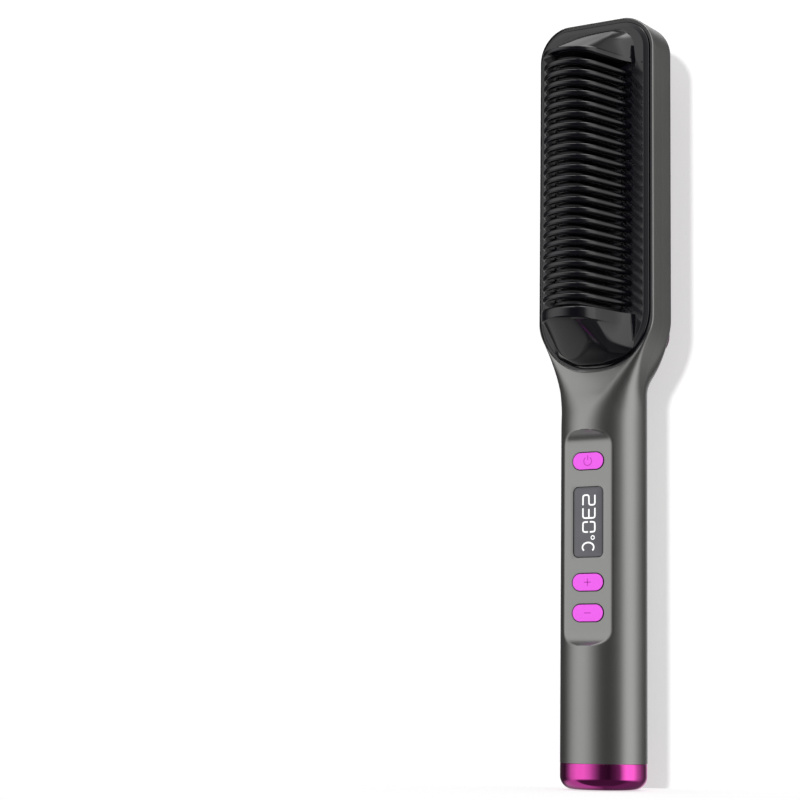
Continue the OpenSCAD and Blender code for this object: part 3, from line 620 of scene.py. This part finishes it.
def rows_between(low, top):
    return int(np.searchsorted(heights, low - 0.01)), int(np.searchsorted(heights, top - 0.01))


def rounded_box(half, r, z):
    """Dense outline of a rounded rectangle about height z, r its corner radius."""
    w, l = half
    corners = [(-w, z + l, r), (-w, z - l, r), (w, z - l, r), (w, z + l, r)]
    return rounded_outline(corners, 4000)


# The cells that the holes take, and those of the openings in front and at the back, which start at a
# column partway round the edge's rounding.
hole_blocks = {name: (*rows_between(*stops[name]), *hole_columns) for name in stops}
edge_column = 9
panel_cells, trim_cells = (139.4, top_z - 0.35), (138.6, 268.3)
panel_block, trim_block = ((*rows_between(*cells), edge_column, len(share) - 1 - edge_column)
                           for cells in (panel_cells, trim_cells))
blocks = [*hole_blocks.values(), panel_block]
shape, outer, inner = housing_half(True, (blocks, blocks))


def hole(name, edge, rounding, below):
    """A hole through the recess's floor, to a dense outline. Its rim is rounded in steps, as distances
    away from the hole and drops, and below gives the loops under it from the outline's points."""
    start, end = (rim(grid, hole_blocks[name]) for grid in (outer, inner))
    flat = start[:, [0, 2]]
    loop = nearest(flat, edge)
    away = (flat - loop) / np.hypot(*(flat - loop).T)[:, None]
    rounded = [lift(loop + out * away, recess_floor - drop) for out, drop in rounding]
    shape.rings([start, *rounded, *below(flat, loop), end])


def wider(half, gap):
    """Half width and half length of an outline, with a gap all round."""
    return half[0] + gap, half[1] + gap


for name, z in button_heights.items():
    half = wider(button_half, button_gap)
    hole(name, rounded_box(half, half[1] - 0.01, z), [(0.45, 0), (0.18, 0), (0.05, 0.05), (0, 0.18)],
         lambda flat, loop: [lift(loop, recess_back)])


def window_ledge(flat, loop):
    """The window's seat: a ledge of the recess's wall round a smaller opening."""
    ledge = nearest(flat, rounded_box(wider(window_half, -ledge_w), window_r - ledge_w, window_z))
    return [lift(loop, window_seat), lift(ledge, window_seat), lift(ledge, recess_back)]


hole("window", rounded_box(wider(window_half, set_gap), window_r, window_z),
     [(0.15, 0), (0.04, 0.04), (0, 0.15)], window_ledge)

shares_out = (0.15, 0.3, 0.45, 0.6, 0.75, 0.88, 0.97)
panel_corners = [(-panel_half_w, panel_top_z, panel_top_r), (-panel_half_w, panel_low_z, panel_low_r),
                 (panel_half_w, panel_low_z, panel_low_r), (panel_half_w, panel_top_z, panel_top_r)]
seat_edge = inset_by(rounded_outline(panel_corners, 6000), -set_gap)
start, end = (rim(grid, panel_block) for grid in (outer, inner))
flat = start[:, [0, 2]]
loop = nearest(flat, seat_edge)
opening = nearest(loop, rounded_box((opening_half_w, comb_half_l + end_slot), opening_r, comb_mid))
loops = [start] + across_surface(flat, loop, True, 0, shares_out)
surface = body_depth(loop[:, 0], loop[:, 1], True)
loops += [lift(loop, surface - 0.05), lift(loop, panel_seat), lift(opening, panel_seat)]
loops += [lift(opening, head_front - wall_t)]
loops += across_surface(opening, end[:, [0, 2]], True, wall_t, (0.3, 0.6, 0.85))
shape.rings(loops + [end])
shape.piece("front_shell", gunmetal, stands_for=("front_housing",), slot="housing")


# --- Back housing --------------------------------------------------------------------------------------
# The back half of the handle and head, in the same paint. Its face is sunk for the trim ring and the
# cover plate, which hide the screws that hold the two halves together. Left is as seen from the comb side.
trim_floor = 7.6
ring_half_w, ring_top_z, ring_low_left_z, ring_low_right_z = 20.9, top_z - 2.4, 142, 151
ring_top_r, ring_low_left_r, ring_low_right_r = 10, 7, 8
ring_corners = [(-ring_half_w, ring_top_z, ring_top_r), (-ring_half_w, ring_low_left_z, ring_low_left_r),
                (ring_half_w, ring_low_right_z, ring_low_right_r), (ring_half_w, ring_top_z, ring_top_r)]
shape, outer, inner = housing_half(False, ([trim_block], []))
start = rim(outer, trim_block)
flat = start[:, [0, 2]]
loop = nearest(flat, inset_by(rounded_outline(ring_corners, 6000), -set_gap))
loops = [start] + across_surface(flat, loop, False, 0, shares_out)
loops += [lift(loop, -body_depth(loop[:, 0], loop[:, 1], False) + 0.06), lift(loop, -trim_floor)]
shape.rings(loops, top=True)
shape.piece("back_shell", gunmetal, stands_for=("back_housing",), slot="housing")


# --- Trim ring -----------------------------------------------------------------------------------------
# A moulded band, plated in pink chrome, that lies round the cover plate with a rounded outer edge and a
# face that falls a little inwards.
def pink_chrome(name):
    """Coloured plating under clear lacquer, with faint ripples and a little dust in its gloss."""
    made = Finish(name, (1.0, 0.085, 0.58), Metallic=1.0, Coat_Weight=0.5, Coat_Roughness=0.03)
    place = made.place()
    drift = made.noise(place, 0.12, 3.0)
    made.feed("Base Color", made.blend(drift, (0.92, 0.07, 0.53), (1.0, 0.10, 0.63)))
    made.feed("Roughness", drift * 0.05 + made.noise(place, 6.0, 1.0) * 0.03 + 0.06)
    return made.bump(made.noise(place, 0.5), 0.03, 0.1)


chrome = pink_chrome("pink_chrome")
ring_face, ring_edge_r, ring_w = 9.6, 0.5, 3.8
turn = np.radians(np.linspace(0, 90, 7))
bead = [(0, trim_floor), *zip(ring_edge_r * (1 - np.cos(turn)), ring_face - ring_edge_r * (1 - np.sin(turn))),
        (1.4, 9.55), (2.4, 9.42), (3.3, 9.12), (3.65, 8.92), (ring_w, 8.65), (ring_w, trim_floor)]
ring_line = rounded_outline(ring_corners, 320)
shape = Shape()
loops = [lift(inset_by(ring_line, t), -depth) for t, depth in bead]
shape.rings(loops + loops[:1])
shape.piece("trim_band", chrome, stands_for=("trim_ring",), slot="pink_chrome")


# --- Back cover ----------------------------------------------------------------------------------------
# A moulded plate in the same grey, bedded in the trim ring. Two sets of slanted creases cross on its face,
# so that it shimmers in large, shallow diamonds.
cover_inset, cover_face = 4.1, 10.5
facet_rise, facet_pitch, facet_slope, facet_share = 0.32, 16.4, 1.34, 0.55
cover_steps = [(0, trim_floor), (0, 9.3), (0.15, 9.75), (0.5, 10.1), (1.0, 10.28)]
cover_cells, margin_cells = (300, 90), 3


def filled(loop, down, over):
    """A grid that fills a closed outline of four sides (down, over, down, over cells, from the top left
    corner down): each point is blended from the four sides, less the blend of the four corners."""
    left, low = loop[:down + 1], loop[down:down + over + 1]
    right = loop[down + over:2 * down + over + 1][::-1]
    top = np.concatenate([loop[2 * down + over:], loop[:1]])[::-1]
    v, u = np.linspace(0, 1, down + 1)[:, None, None], np.linspace(0, 1, over + 1)[None, :, None]
    sides = mix(left[:, None], right[:, None], u) + mix(top[None], low[None], v)
    corners = mix(mix(top[0], top[-1], u), mix(low[0], low[-1], u), v)
    return sides - corners


def zigzag(t):
    """Straight rises and falls between 0 and 1, with a crease at every whole number."""
    return np.abs(2 * (t / 2 - np.floor(t / 2)) - 1)


loop = inset_by(rounded_outline(ring_corners, sides=cover_cells), cover_inset)
shape = Shape()
shape.rings([lift(inset_by(loop, t), -depth) for t, depth in cover_steps], low=True)
plan = filled(inset_by(loop, cover_steps[-1][0]), *cover_cells)
x, z = plan[..., 0], plan[..., 1]
slants = [zigzag((z + way * facet_slope * x) / facet_pitch) for way in (-1, 1)]
rise = mix(slants[1], slants[0], facet_share)
v, u = np.meshgrid(*(np.arange(n + 1) for n in cover_cells), indexing="ij")
from_edge = np.minimum(np.minimum(v, cover_cells[0] - v), np.minimum(u, cover_cells[1] - u))
margin = ease(from_edge / margin_cells)
height = mix(cover_steps[-1][1], cover_face - facet_rise * (1 - rise), margin)
shape.sheet(np.stack([x, height, z], -1))
plate = satin_paint("satin_plate", srgb("adada8"))
shape.piece("cover_plate", plate, stands_for=("back_cover",), slot="back_cover", crease=50)


# --- Heater stack --------------------------------------------------------------------------------------
# Behind the guard a silicone gasket, two ceramic heaters and a steel clamp lie on the heated comb, over a
# tray of pressed mica. A thermal fuse sits in one of the sleeved leads. All of it is hidden in the head.
def dress(finish, *names):
    """Gives carried-over CAD nodes a finish in place of their own."""
    for name in names:
        slots = nodes[name].data.materials
        for i in range(len(slots)):
            slots[i] = finish.material


def grained(name, colour, rough, spots=1.5, contrast=0.12, relief=0.02, **constants):
    """A moulded or pressed material whose tone, gloss and surface vary in fine grains."""
    made = Finish(name, colour, **constants)
    place = made.place()
    grain = made.noise(place, spots, 3.0)
    made.feed("Base Color", made.blend(grain, shade(colour, 1 - contrast), shade(colour, 1 + contrast)))
    made.feed("Roughness", grain * 0.12 + (rough - 0.06))
    return made.bump(made.noise(place, 2.5), relief, 0.3)


def drawn_metal(name, colour, rough, along=(1, 1, 0.04)):
    """Rolled or turned metal: streaks along one axis in its tone and gloss."""
    made = Finish(name, colour, Metallic=1.0)
    streaks = made.noise(made.place(along), 5.0, 3.0)
    made.feed("Base Color", made.blend(streaks, shade(colour, 0.85), shade(colour, 1.1)))
    made.feed("Roughness", streaks * 0.2 + (rough - 0.1))
    return made.bump(streaks, 0.01, 0.3)


dress(grained("silicone_gasket", srgb("c9b28a"), 0.6), "heat_gasket")
dress(grained("ceramic_heater", srgb("e4e1d8"), 0.45, spots=3.0, contrast=0.06), "heater_elements")
dress(grained("pressed_mica", srgb("cdb98e"), 0.5, spots=0.8, contrast=0.2), "insulation_tray")
dress(drawn_metal("rolled_steel", srgb("b9bbbd"), 0.32), "heater_clamp", "thermal_fuse", "gland_retainer")
dress(drawn_metal("turned_steel", srgb("c6c8ca"), 0.25, (0.2, 1, 0.2)), "comb_screws", "housing_screws",
      "board_screws", "retainer_screws")
dress(grained("sleeved_lead", srgb("dedad0"), 0.65, spots=4.0), "heater_leads")
dress(grained("thermistor_bead", srgb("b4611f"), 0.4), "thermistor")
dress(grained("black_lead", srgb("1d1d20"), 0.5), "sensor_leads")


# --- Heated comb ---------------------------------------------------------------------------------------
# An aluminium casting with a dark coat: a base plate, and one fin in each gap between the guard's ribs,
# each a little lower than they are. A fin's edges are rounded in steps: a drop below its outline, and a
# place across it in shares of its thickness.
rib_count = 23
rib_pitch = (comb_top_z - comb_low_z) / (rib_count + 1)
rib_half, rib_h, rib_depth, rib_t = 14.8, 25.7, 4.2, 2.1
rib_lean = math.radians(14)
fin_half, fin_h, fin_t, fin_root = 10.0, 22.3, 1.1, 3.5
fin_round = [(0.25, -0.5), (0.08, -0.42), (0, -0.2), (0, 0.2), (0.08, 0.42), (0.25, 0.5)]
base_half_w, base_end, base_r, base_depths = opening_half_w + 1, 6.6, 1.0, (1.0, 4.0)


def crest_r(foot, h):
    """Radius of the one arc that joins two leaning sides, foot apart from the middle, at a height."""
    return (foot - h * math.tan(rib_lean)) / (1 / math.cos(rib_lean) - math.tan(rib_lean))


def standing(foot, h, r, root=0.3, n=32):
    """Profile of what stands on the guard's cover, as widths and depths: a leaning side, a crest whose
    two ends are rounded by r, and the other side. foot is half its width on the cover's face, and its
    ends go a root below that face."""
    x = max(0, foot - h * math.tan(rib_lean) - r * (1 / math.cos(rib_lean) - math.tan(rib_lean)))
    a = np.linspace(rib_lean, np.pi - rib_lean, n + 1)
    way = np.sign(np.round(np.cos(a), 6))
    arc = np.stack([way * x + r * np.cos(a), panel_face + h - r + r * np.sin(a)], -1)
    side = mix(np.array([foot, panel_face]), arc[0], np.linspace(0, 1, 6, endpoint=False)[:, None])
    side = np.concatenate([[[foot, panel_face - root]], side])
    return np.concatenate([side, arc, side[::-1] * (-1, 1)])


shape = Shape()
plate_line = rounded_box((base_half_w, comb_half_l + base_end), base_r, comb_mid)[::50]
shape.rings([lift(plate_line, depth) for depth in base_depths], low=True, top=True)
for i in range(rib_count + 1):
    z = comb_low_z + (i + 0.5) * rib_pitch
    loops = []
    for drop, offset in fin_round:
        crest = crest_r(fin_half, fin_h) - drop
        fin = standing(fin_half - drop, fin_h - drop, crest, panel_face - fin_root, n=20)
        loops.append(np.stack([fin[:, 0], -fin[:, 1], np.full(len(fin), z + offset * fin_t)], -1))
    shape.rings(loops, low=True, top=True)
dark_coat = grained("dark_coat", srgb("3b3a3d"), 0.38, spots=2.0, contrast=0.2, relief=0.015, Metallic=0.4)
shape.piece("cast_comb", dark_coat, stands_for=("heating_comb",), slot="heating_comb")


# --- Comb guard ----------------------------------------------------------------------------------------
# Glossy black heatproof plastic, moulded in one: a cover over the head's front, 23 arched ribs that keep
# the hot fins off the scalp, and two end walls. Each wall has a thick lip, and behind it a slope on which
# the ribs' arch sinks to the cover.
lip_rise, lip_step, wall_edge_r, foot_margin, foot_flare, flare_h = 0.6, 0.9, 1.3, 1.4, 1.4, 7.0
upper_slope, upper_lip, upper_corner_r, lower_lip = 13.4, 1.5, 6.5, 4.0
lower_slope = comb_low_z - panel_low_z - foot_margin
least_rise, least_half, round_gap, round_blend = 0.04, 0.5, 0.3, 2.0
panel_ledge, panel_slant, panel_lip, slit_r = 1.0, 0.35, 2.8, 0.3
nose_r, rib_taper = 0.9, [(2.5, 0.39), (3.9, 0.29), (rib_depth, 0.2)]
dot_x, dot_r, dot_dome = 18.8, 0.42, [(1, -0.05), (1, 0.02), (0.8, 0.12), (0.4, 0.17)]


def gloss_black(name):
    """Polished black plastic with a trace of waviness and fine scuffs in its gloss."""
    made = Finish(name, srgb("0e0c12"), Coat_Weight=0.6, Coat_Roughness=0.03, Specular_IOR_Level=0.5)
    place = made.place()
    drift = made.noise(place, 0.08, 4.0)
    made.feed("Base Color", made.blend(drift, srgb("0b090e"), srgb("110f16")))
    made.feed("Roughness", drift * 0.08 + made.noise(place, 3.0) * 0.04 + 0.07)
    return made.bump(made.noise(place, 0.35), 0.04, 0.08)


def end_wall(z, way, length, lip, half_at):
    """Loops of an end wall from its rib side at height z: a cushioned lip with the ribs' arch, then a
    slope, on which the arch sinks evenly to a rounded edge on the cover. half_at gives half its width
    at a distance, and its foot flares out by the square of how near the cover it is."""
    across = np.array([0, 0.02, 0.06, 0.12, 0.2, 0.35, 0.5, 0.65, 0.8, 0.88, 0.94, 0.98, 1])
    rises = [rib_h + lip_rise * (1 - abs(2 * a - 1) ** 4) for a in across]
    fall = np.concatenate([np.linspace(0.02, 0.7, 22), 1 - 0.3 * np.cos(np.radians(np.linspace(10, 90, 14)))])
    edge = wall_edge_r - quarter(wall_edge_r - (1 - fall) * (length - lip), wall_edge_r)
    rises += list((rib_h - lip_step - wall_edge_r) * (1 - fall) + np.maximum(least_rise, edge))
    arch = standing(rib_half, rib_h, crest_r(rib_half, rib_h))
    loops = []
    for s, h in zip(np.concatenate([lip * across, lip + fall * (length - lip)]), rises):
        depth = panel_face + (arch[:, 1] - panel_face) * np.where(arch[:, 1] > panel_face, h / rib_h, 1)
        flare = foot_flare * h / rib_h * np.clip(1 - (depth - panel_face) / flare_h, 0, 1) ** 2
        half = (half_at(s) + flare) / rib_half
        loops.append(np.stack([arch[:, 0] * half, -depth, np.full(len(arch), z + way * s)], -1))
    return loops


def upper_half(s):
    """The upper wall keeps the ribs' width, and its two far corners are rounded."""
    return rib_half - float(quarter(upper_corner_r - (upper_slope - s), upper_corner_r))


def lower_half(s):
    """The lower wall keeps the ribs' width until the cover's rounded end narrows it."""
    r = panel_low_r - foot_margin
    round_end = panel_half_w - foot_margin - float(quarter(panel_low_z + panel_low_r - comb_low_z + s, r))
    return max(least_half, float(soft_min(rib_half, round_end + round_gap, round_blend)))


shape = Shape()
shape.rings(end_wall(comb_top_z, 1, upper_slope, upper_lip, upper_half), low=True, top=True)
shape.rings(end_wall(comb_low_z, -1, lower_slope, lower_lip, lower_half), low=True, top=True)

# The cover: a narrow sunk ledge that shows as a groove, a slanted rim, a face, and the fins' opening.
panel_line = rounded_outline(panel_corners, 480)
rim_steps = [(0, panel_seat), (0, panel_seat + 0.2), (panel_ledge, panel_seat + 0.2),
             (panel_ledge, panel_face - 0.9), (panel_ledge + 0.1, panel_face - 0.6),
             (panel_ledge + 0.35, panel_face - panel_slant), (panel_lip - 0.15, panel_face - 0.06),
             (panel_lip, panel_face), (panel_lip + 0.2, panel_face)]
loops = [lift(inset_by(panel_line, t), depth) for t, depth in rim_steps]
slit = nearest(panel_line, rounded_box((rib_half - rib_depth, comb_half_l), slit_r, comb_mid))
loops += [lift(slit, panel_face), lift(slit, panel_seat)]
shape.rings(loops + loops[:1])

# A rib's section, from its crest down: a rounded nose, widest a little below it, that tapers inwards.
# It is carried along the arch, with t how far below the crest and w its place across in shares of rib_t.
turn = np.radians(np.linspace(-90, 90, 9))
section = [*zip(nose_r * (1 - np.cos(turn)), 0.5 * np.sin(turn)), *rib_taper,
           *((t, -w) for t, w in reversed(rib_taper))]
lines = []
for t, w in section:
    line = standing(rib_half - t / math.cos(rib_lean), rib_h - t, crest_r(rib_half, rib_h) - t)
    lines.append(np.insert(line, 2, w * rib_t, axis=1))
bars = np.stack(lines, 1) * (1, -1, 1)
for i in range(1, rib_count + 1):
    rib = bars + (0, 0, comb_low_z + i * rib_pitch)
    shape.sheet(rib, closed=True)
    shape.face(rib[0])
    shape.face(rib[-1])

# A small dot beside each end of each rib, on the cover's margin.
turn = np.linspace(0, 2 * np.pi, 12, endpoint=False)
disc = np.stack([np.cos(turn), np.sin(turn)], -1)
for i in range(rib_count + 2):
    for x in (-dot_x, dot_x):
        centre = np.array([x, comb_low_z + i * rib_pitch])
        loops = [lift(centre + dot_r * k * disc, panel_face + rise) for k, rise in dot_dome]
        shape.rings(loops, low=True, top=True)
shape.piece("guard", gloss_black("gloss_black"), stands_for=("comb_cover",), slot="guard")


# --- Control electronics -------------------------------------------------------------------------------
# Two green boards screwed in the handle: the front one has three tact switches and the display, the back
# one the mains parts. They are hidden by the housing.
def board_lacquer(name):
    """Green lacquer over copper: tracks show as lighter stripes in steps along the board."""
    made = Finish(name, srgb("14532d"), Coat_Weight=0.6, Coat_Roughness=0.15)
    place = made.place()
    x, z = made.axis(place, 0), made.axis(place, 2)
    jog = (made.noise(made.place((0.12, 0.12, 0.12)), 1.0) * 8).wave()
    track = ((x * 0.45 + jog * 0.6).wave() < 0.22) * ((z * 0.07).wave() > 0.2)
    made.feed("Base Color", made.blend(track, srgb("0f4526"), srgb("2a7a45")))
    made.feed("Roughness", made.noise(place, 3.0) * 0.1 + 0.3)
    return made.bump(track, 0.03, 0.6)


dress(board_lacquer("board_lacquer"), "control_board", "power_board")
dress(grained("header_plastic", srgb("1e1e20"), 0.45), "board_header")
dress(grained("display_glass", srgb("26282c"), 0.2, spots=0.3), "display_module")
dress(grained("switch_plastic", srgb("2b2b2e"), 0.4), "power_switch", "plus_switch", "minus_switch")
dress(grained("capacitor_sleeve", srgb("1d2b57"), 0.3), "capacitor")
dress(grained("triac_epoxy", srgb("1b1b1c"), 0.55), "triac")
dress(grained("terminal_nylon", srgb("3b8a55"), 0.5), "terminal_block")


# --- Buttons -------------------------------------------------------------------------------------------
# Three push buttons with a crowned face painted pink and sides coloured dark as painted shade, each with a
# flange behind the housing's wall and a stem to its switch. Their signs are printed in a darker pink.
button_face, button_crown, crown_step = recess_floor + 0.45, 0.15, 0.14
flange_t, flange_rim, stem_r, stem_l = 0.8, 0.8, 1.2, 1.45
sign_stroke, sign_root, sign_t, sign_bar = 0.34, 0.1, 0.02, 1.3


def ribbon(shape, path, width, low, high, closed=False):
    """A flat stroke along a path (x, z), with square ends, between two depths."""
    path = np.asarray(path, float)
    along = np.gradient(path, axis=0) if not closed else np.roll(path, -1, 0) - np.roll(path, 1, 0)
    side = np.stack([-along[:, 1], along[:, 0]], -1) / np.hypot(*along.T)[:, None] * width / 2
    edges = ((side, low), (side, high), (-side, high), (-side, low))
    grid = np.stack([lift(path + out, depth) for out, depth in edges], 1)
    if closed:
        grid = np.concatenate([grid, grid[:1]])
    shape.sheet(grid, closed=True)
    if not closed:
        shape.face(grid[0])
        shape.face(grid[-1])


def arc_path(x, z, r, start, end, n=24):
    """Points round (x, z) from one angle to another, in degrees anticlockwise from +X."""
    a = np.radians(np.linspace(start, end, n))
    return np.stack([x + r * np.cos(a), z + r * np.sin(a)], -1)


def push_button(name, z, body, strokes):
    """A button about height z, and its sign, whose strokes are paths about the button's centre."""
    line = rounded_box(button_half, button_half[1] - 0.01, z)[::32]
    from_middle = line - (0, z)
    stem = (0, z) + stem_r * from_middle / np.hypot(*from_middle.T)[:, None]
    flange = inset_by(line, -flange_rim)
    crown_foot = button_face - button_crown
    steps = [(0, recess_back), (0, crown_foot - crown_step), (0.04, crown_foot - 0.05)]
    insets = np.array([0.12, 0.3, 0.6, 1.0, 1.4, 1.9, 2.4, 2.8])
    steps += list(zip(insets, button_face - button_crown * (1 - insets / button_half[1]) ** 2))
    shape = Shape()
    loops = [lift(stem, recess_back - stem_l), lift(stem, recess_back - flange_t),
             lift(flange, recess_back - flange_t), lift(flange, recess_back)]
    shape.rings(loops + [lift(inset_by(line, t), depth) for t, depth in steps], low=True, top=True)
    shape.piece(name + "_cap", pink_touch, body, stands_for=(name + "_button",), slot="button")
    sign = Shape()
    for path in strokes:
        ribbon(sign, np.asarray(path) + (0, z), sign_stroke, button_face - sign_root, button_face + sign_t)
    sign.piece(name + "_sign", sign_ink, body, slot="button")


def painted_face(name, colour, painted_shade_colour, level):
    """A moulding whose face is painted: the paint ends at a depth, just round the face's edge, and below it
    the sides take a dark colour, painted shade for the gap round the button.
    """
    made = Finish(name, colour)
    place = made.place()
    grain = made.noise(place, 2.5, 3.0)
    paint = made.blend(grain, shade(colour, 0.97), shade(colour, 1.03))
    # Below the paint's end the sides take the dark colour: painted shade for the gap round the button.
    made.feed("Base Color", made.blend(made.axis(place, 1) > -level, paint, painted_shade_colour))
    made.feed("Roughness", grain * 0.12 + 0.36)
    return made.bump(grain, 0.01, 0.3)


paint_end = button_face - button_crown - crown_step + 0.02
# The dark magenta under the pink paint is painted shade on the buttons' sides.
pink_touch = painted_face("pink_touch", srgb("ff66fb"), srgb("3a1238"), paint_end)
sign_ink = grained("sign_ink", srgb("c93cc4"), 0.4, spots=3.0, contrast=0.04)
level_bar = [(-sign_bar, 0), (0, 0), (sign_bar, 0)]
upright_bar = [(0, -sign_bar), (0, 0), (0, sign_bar)]
power_sign = [arc_path(0, -0.1, 1.5, 125, 415, 30), [(0, 0.3), (0, 1.1), (0, 1.9)]]
push_button("power", button_heights["power"], "power_key", power_sign)
push_button("plus", button_heights["plus"], "plus_key", [level_bar, upright_bar])
push_button("minus", button_heights["minus"], "minus_key", [level_bar])


# --- Display window ------------------------------------------------------------------------------------
# A smoked acrylic lens set flush in the recess. Lit segments behind it show the temperature, read from
# the top down with their heads to the right. They are modelled as inlays that stand a hair out of its face.
window_face, frame_w = window_seat + 1.3, 0.8
digit_h, digit_w, stroke, digit_r = 4.6, 3.45, 0.56, 0.45
digit_x, digit_heights, degree_z, letter_z = 0.25, (98.6, 94.1, 89.3), 85.6, 82.3
degree_x, degree_r, degree_stroke, segment_gap = 1.75, 0.62, 0.36, 0.16
line = rounded_box(window_half, window_r - set_gap, window_z)[::20]
lens_steps = [(0.1, window_seat), (0, window_seat + 0.1), (0, window_face - 0.2), (0.05, window_face - 0.07),
              (0.2, window_face)]
shape = Shape()
shape.rings([lift(inset_by(line, t), depth) for t, depth in lens_steps], low=True, top=True)
lens_tint = Finish("smoked_lens", srgb("59595f"), Coat_Weight=0.8, Coat_Roughness=0.03,
                   Specular_IOR_Level=0.4)
place = lens_tint.place()
from_middle = abs(lens_tint.axis(place, 0)), abs(lens_tint.axis(place, 2) - window_z)
across, along = (d.ramp(half - frame_w, half) for d, half in zip(from_middle, window_half))
smoke = lens_tint.blend(lens_tint.noise(place, 0.3), srgb("55555b"), srgb("5f5f65"))
lens_tint.feed("Base Color", lens_tint.blend(across.most(along), smoke, srgb("44444a")))
lens_tint.feed("Roughness", lens_tint.noise(place, 1.0) * 0.08 + 0.14)
shape.piece("lens", lens_tint, stands_for=("display_window",), slot="window")


def bent(points):
    """An open path with its corners rounded: each is a curve of mixed mixes of its two legs' ends."""
    points = np.array(points, float)
    path = [points[:1]]
    for before, corner, after in zip(points, points[1:], points[2:]):
        a, b = before - corner, after - corner
        a, b = corner + digit_r * a / np.hypot(*a), corner + digit_r * b / np.hypot(*b)
        t = np.linspace(0, 1, 7)[:, None]
        path.append(mix(mix(a, corner, t), mix(corner, b, t), t))
    return np.concatenate(path + [points[-1:]])


def lit(shape, glyph, z):
    """A glyph's strokes about height z: its own right is down the display, and its head towards +X."""
    for path in glyph:
        path = np.asarray(path, float) * (digit_w / 2, digit_h / 2)
        path = np.stack([digit_x + path[:, 1], z - path[:, 0]], -1)
        ribbon(shape, path, stroke, window_face - sign_root, window_face + sign_t)


two = [bent([(-1, 1), (1, 1), (1, 0), (-1, 0), (-1, -1), (1, -1)])]
three = [bent([(-1, 1), (1, 1), (1, -1), (-1, -1)]), [(-0.8, 0), (0, 0), (0.9, 0)]]
nought = [bent([(-1, way * segment_gap), (-1, way), (1, way), (1, way * segment_gap)]) for way in (1, -1)]
letter = [arc_path(0, 0, 0.95, 48, 312, 40) - (0, 0.12)]
shape = Shape()
for glyph, z in zip((two, three, nought, letter), (*digit_heights, letter_z)):
    lit(shape, glyph, z)
ribbon(shape, arc_path(degree_x, degree_z, degree_r, 0, 345, 24), degree_stroke, window_face - sign_root,
       window_face + sign_t, closed=True)
digits = Finish("lit_segments", (0.9, 0.9, 0.9), Roughness=0.5, Emission_Strength=0.35)
place = digits.place()
digits.feed("Emission Color", digits.blend(digits.noise(place, 0.8), (0.85, 0.88, 0.9), (1, 1, 1)))
shape.piece("segments", digits, slot="window")


# --- End cap and cord gland ----------------------------------------------------------------------------
# The cap that closes the handle is plated like the trim ring, and its collar is glued into the housing.
# A black nylon gland turns in its floor, held by a steel plate and two screws.
cap_edge_r, cap_floor, collar_h, collar_r, cap_inner_r = 4.5, 2.4, 6.0, 12.65, 10.85
gland_hole_r, boss_ring_r, boss_r, boss_root, boss_h = 5.48, 8.825, 1.2, 0.2, 1.7


def turned(profile, n=144, centre=(0, 0)):
    """Circles round an upright axis, one for each radius and height of a profile."""
    a = np.linspace(0, 2 * np.pi, n, endpoint=False)
    x, y = centre
    return [np.stack([x + r * np.cos(a), y + r * np.sin(a), np.full(n, z)], -1) for r, z in profile]


turn = np.radians(np.linspace(0, 90, 17))
profile = [(gland_hole_r, cap_floor), (gland_hole_r, 0.15), (gland_hole_r + 0.15, 0),
           *zip(handle_r - cap_edge_r + cap_edge_r * np.sin(turn), cap_edge_r * (1 - np.cos(turn))),
           (handle_r, cap_h - 0.25), (handle_r - 0.05, cap_h - 0.1), (handle_r - 0.16, cap_h),
           (collar_r, cap_h), (collar_r, cap_h + collar_h), (cap_inner_r, cap_h + collar_h),
           (cap_inner_r, cap_floor)]
shape = Shape()
loops = turned(profile)
shape.rings(loops + loops[:1])
boss = [(boss_r, cap_floor - boss_root), (boss_r, cap_floor + boss_h)]
for x in (-boss_ring_r, boss_ring_r):
    shape.rings(turned(boss, 24, (x, 0)), low=True, top=True)
shape.piece("plated_cap", chrome, stands_for=("end_cap",), slot="pink_chrome")
dress(grained("black_nylon", srgb("1c1c1f"), 0.5, spots=2.0), "cord_gland")
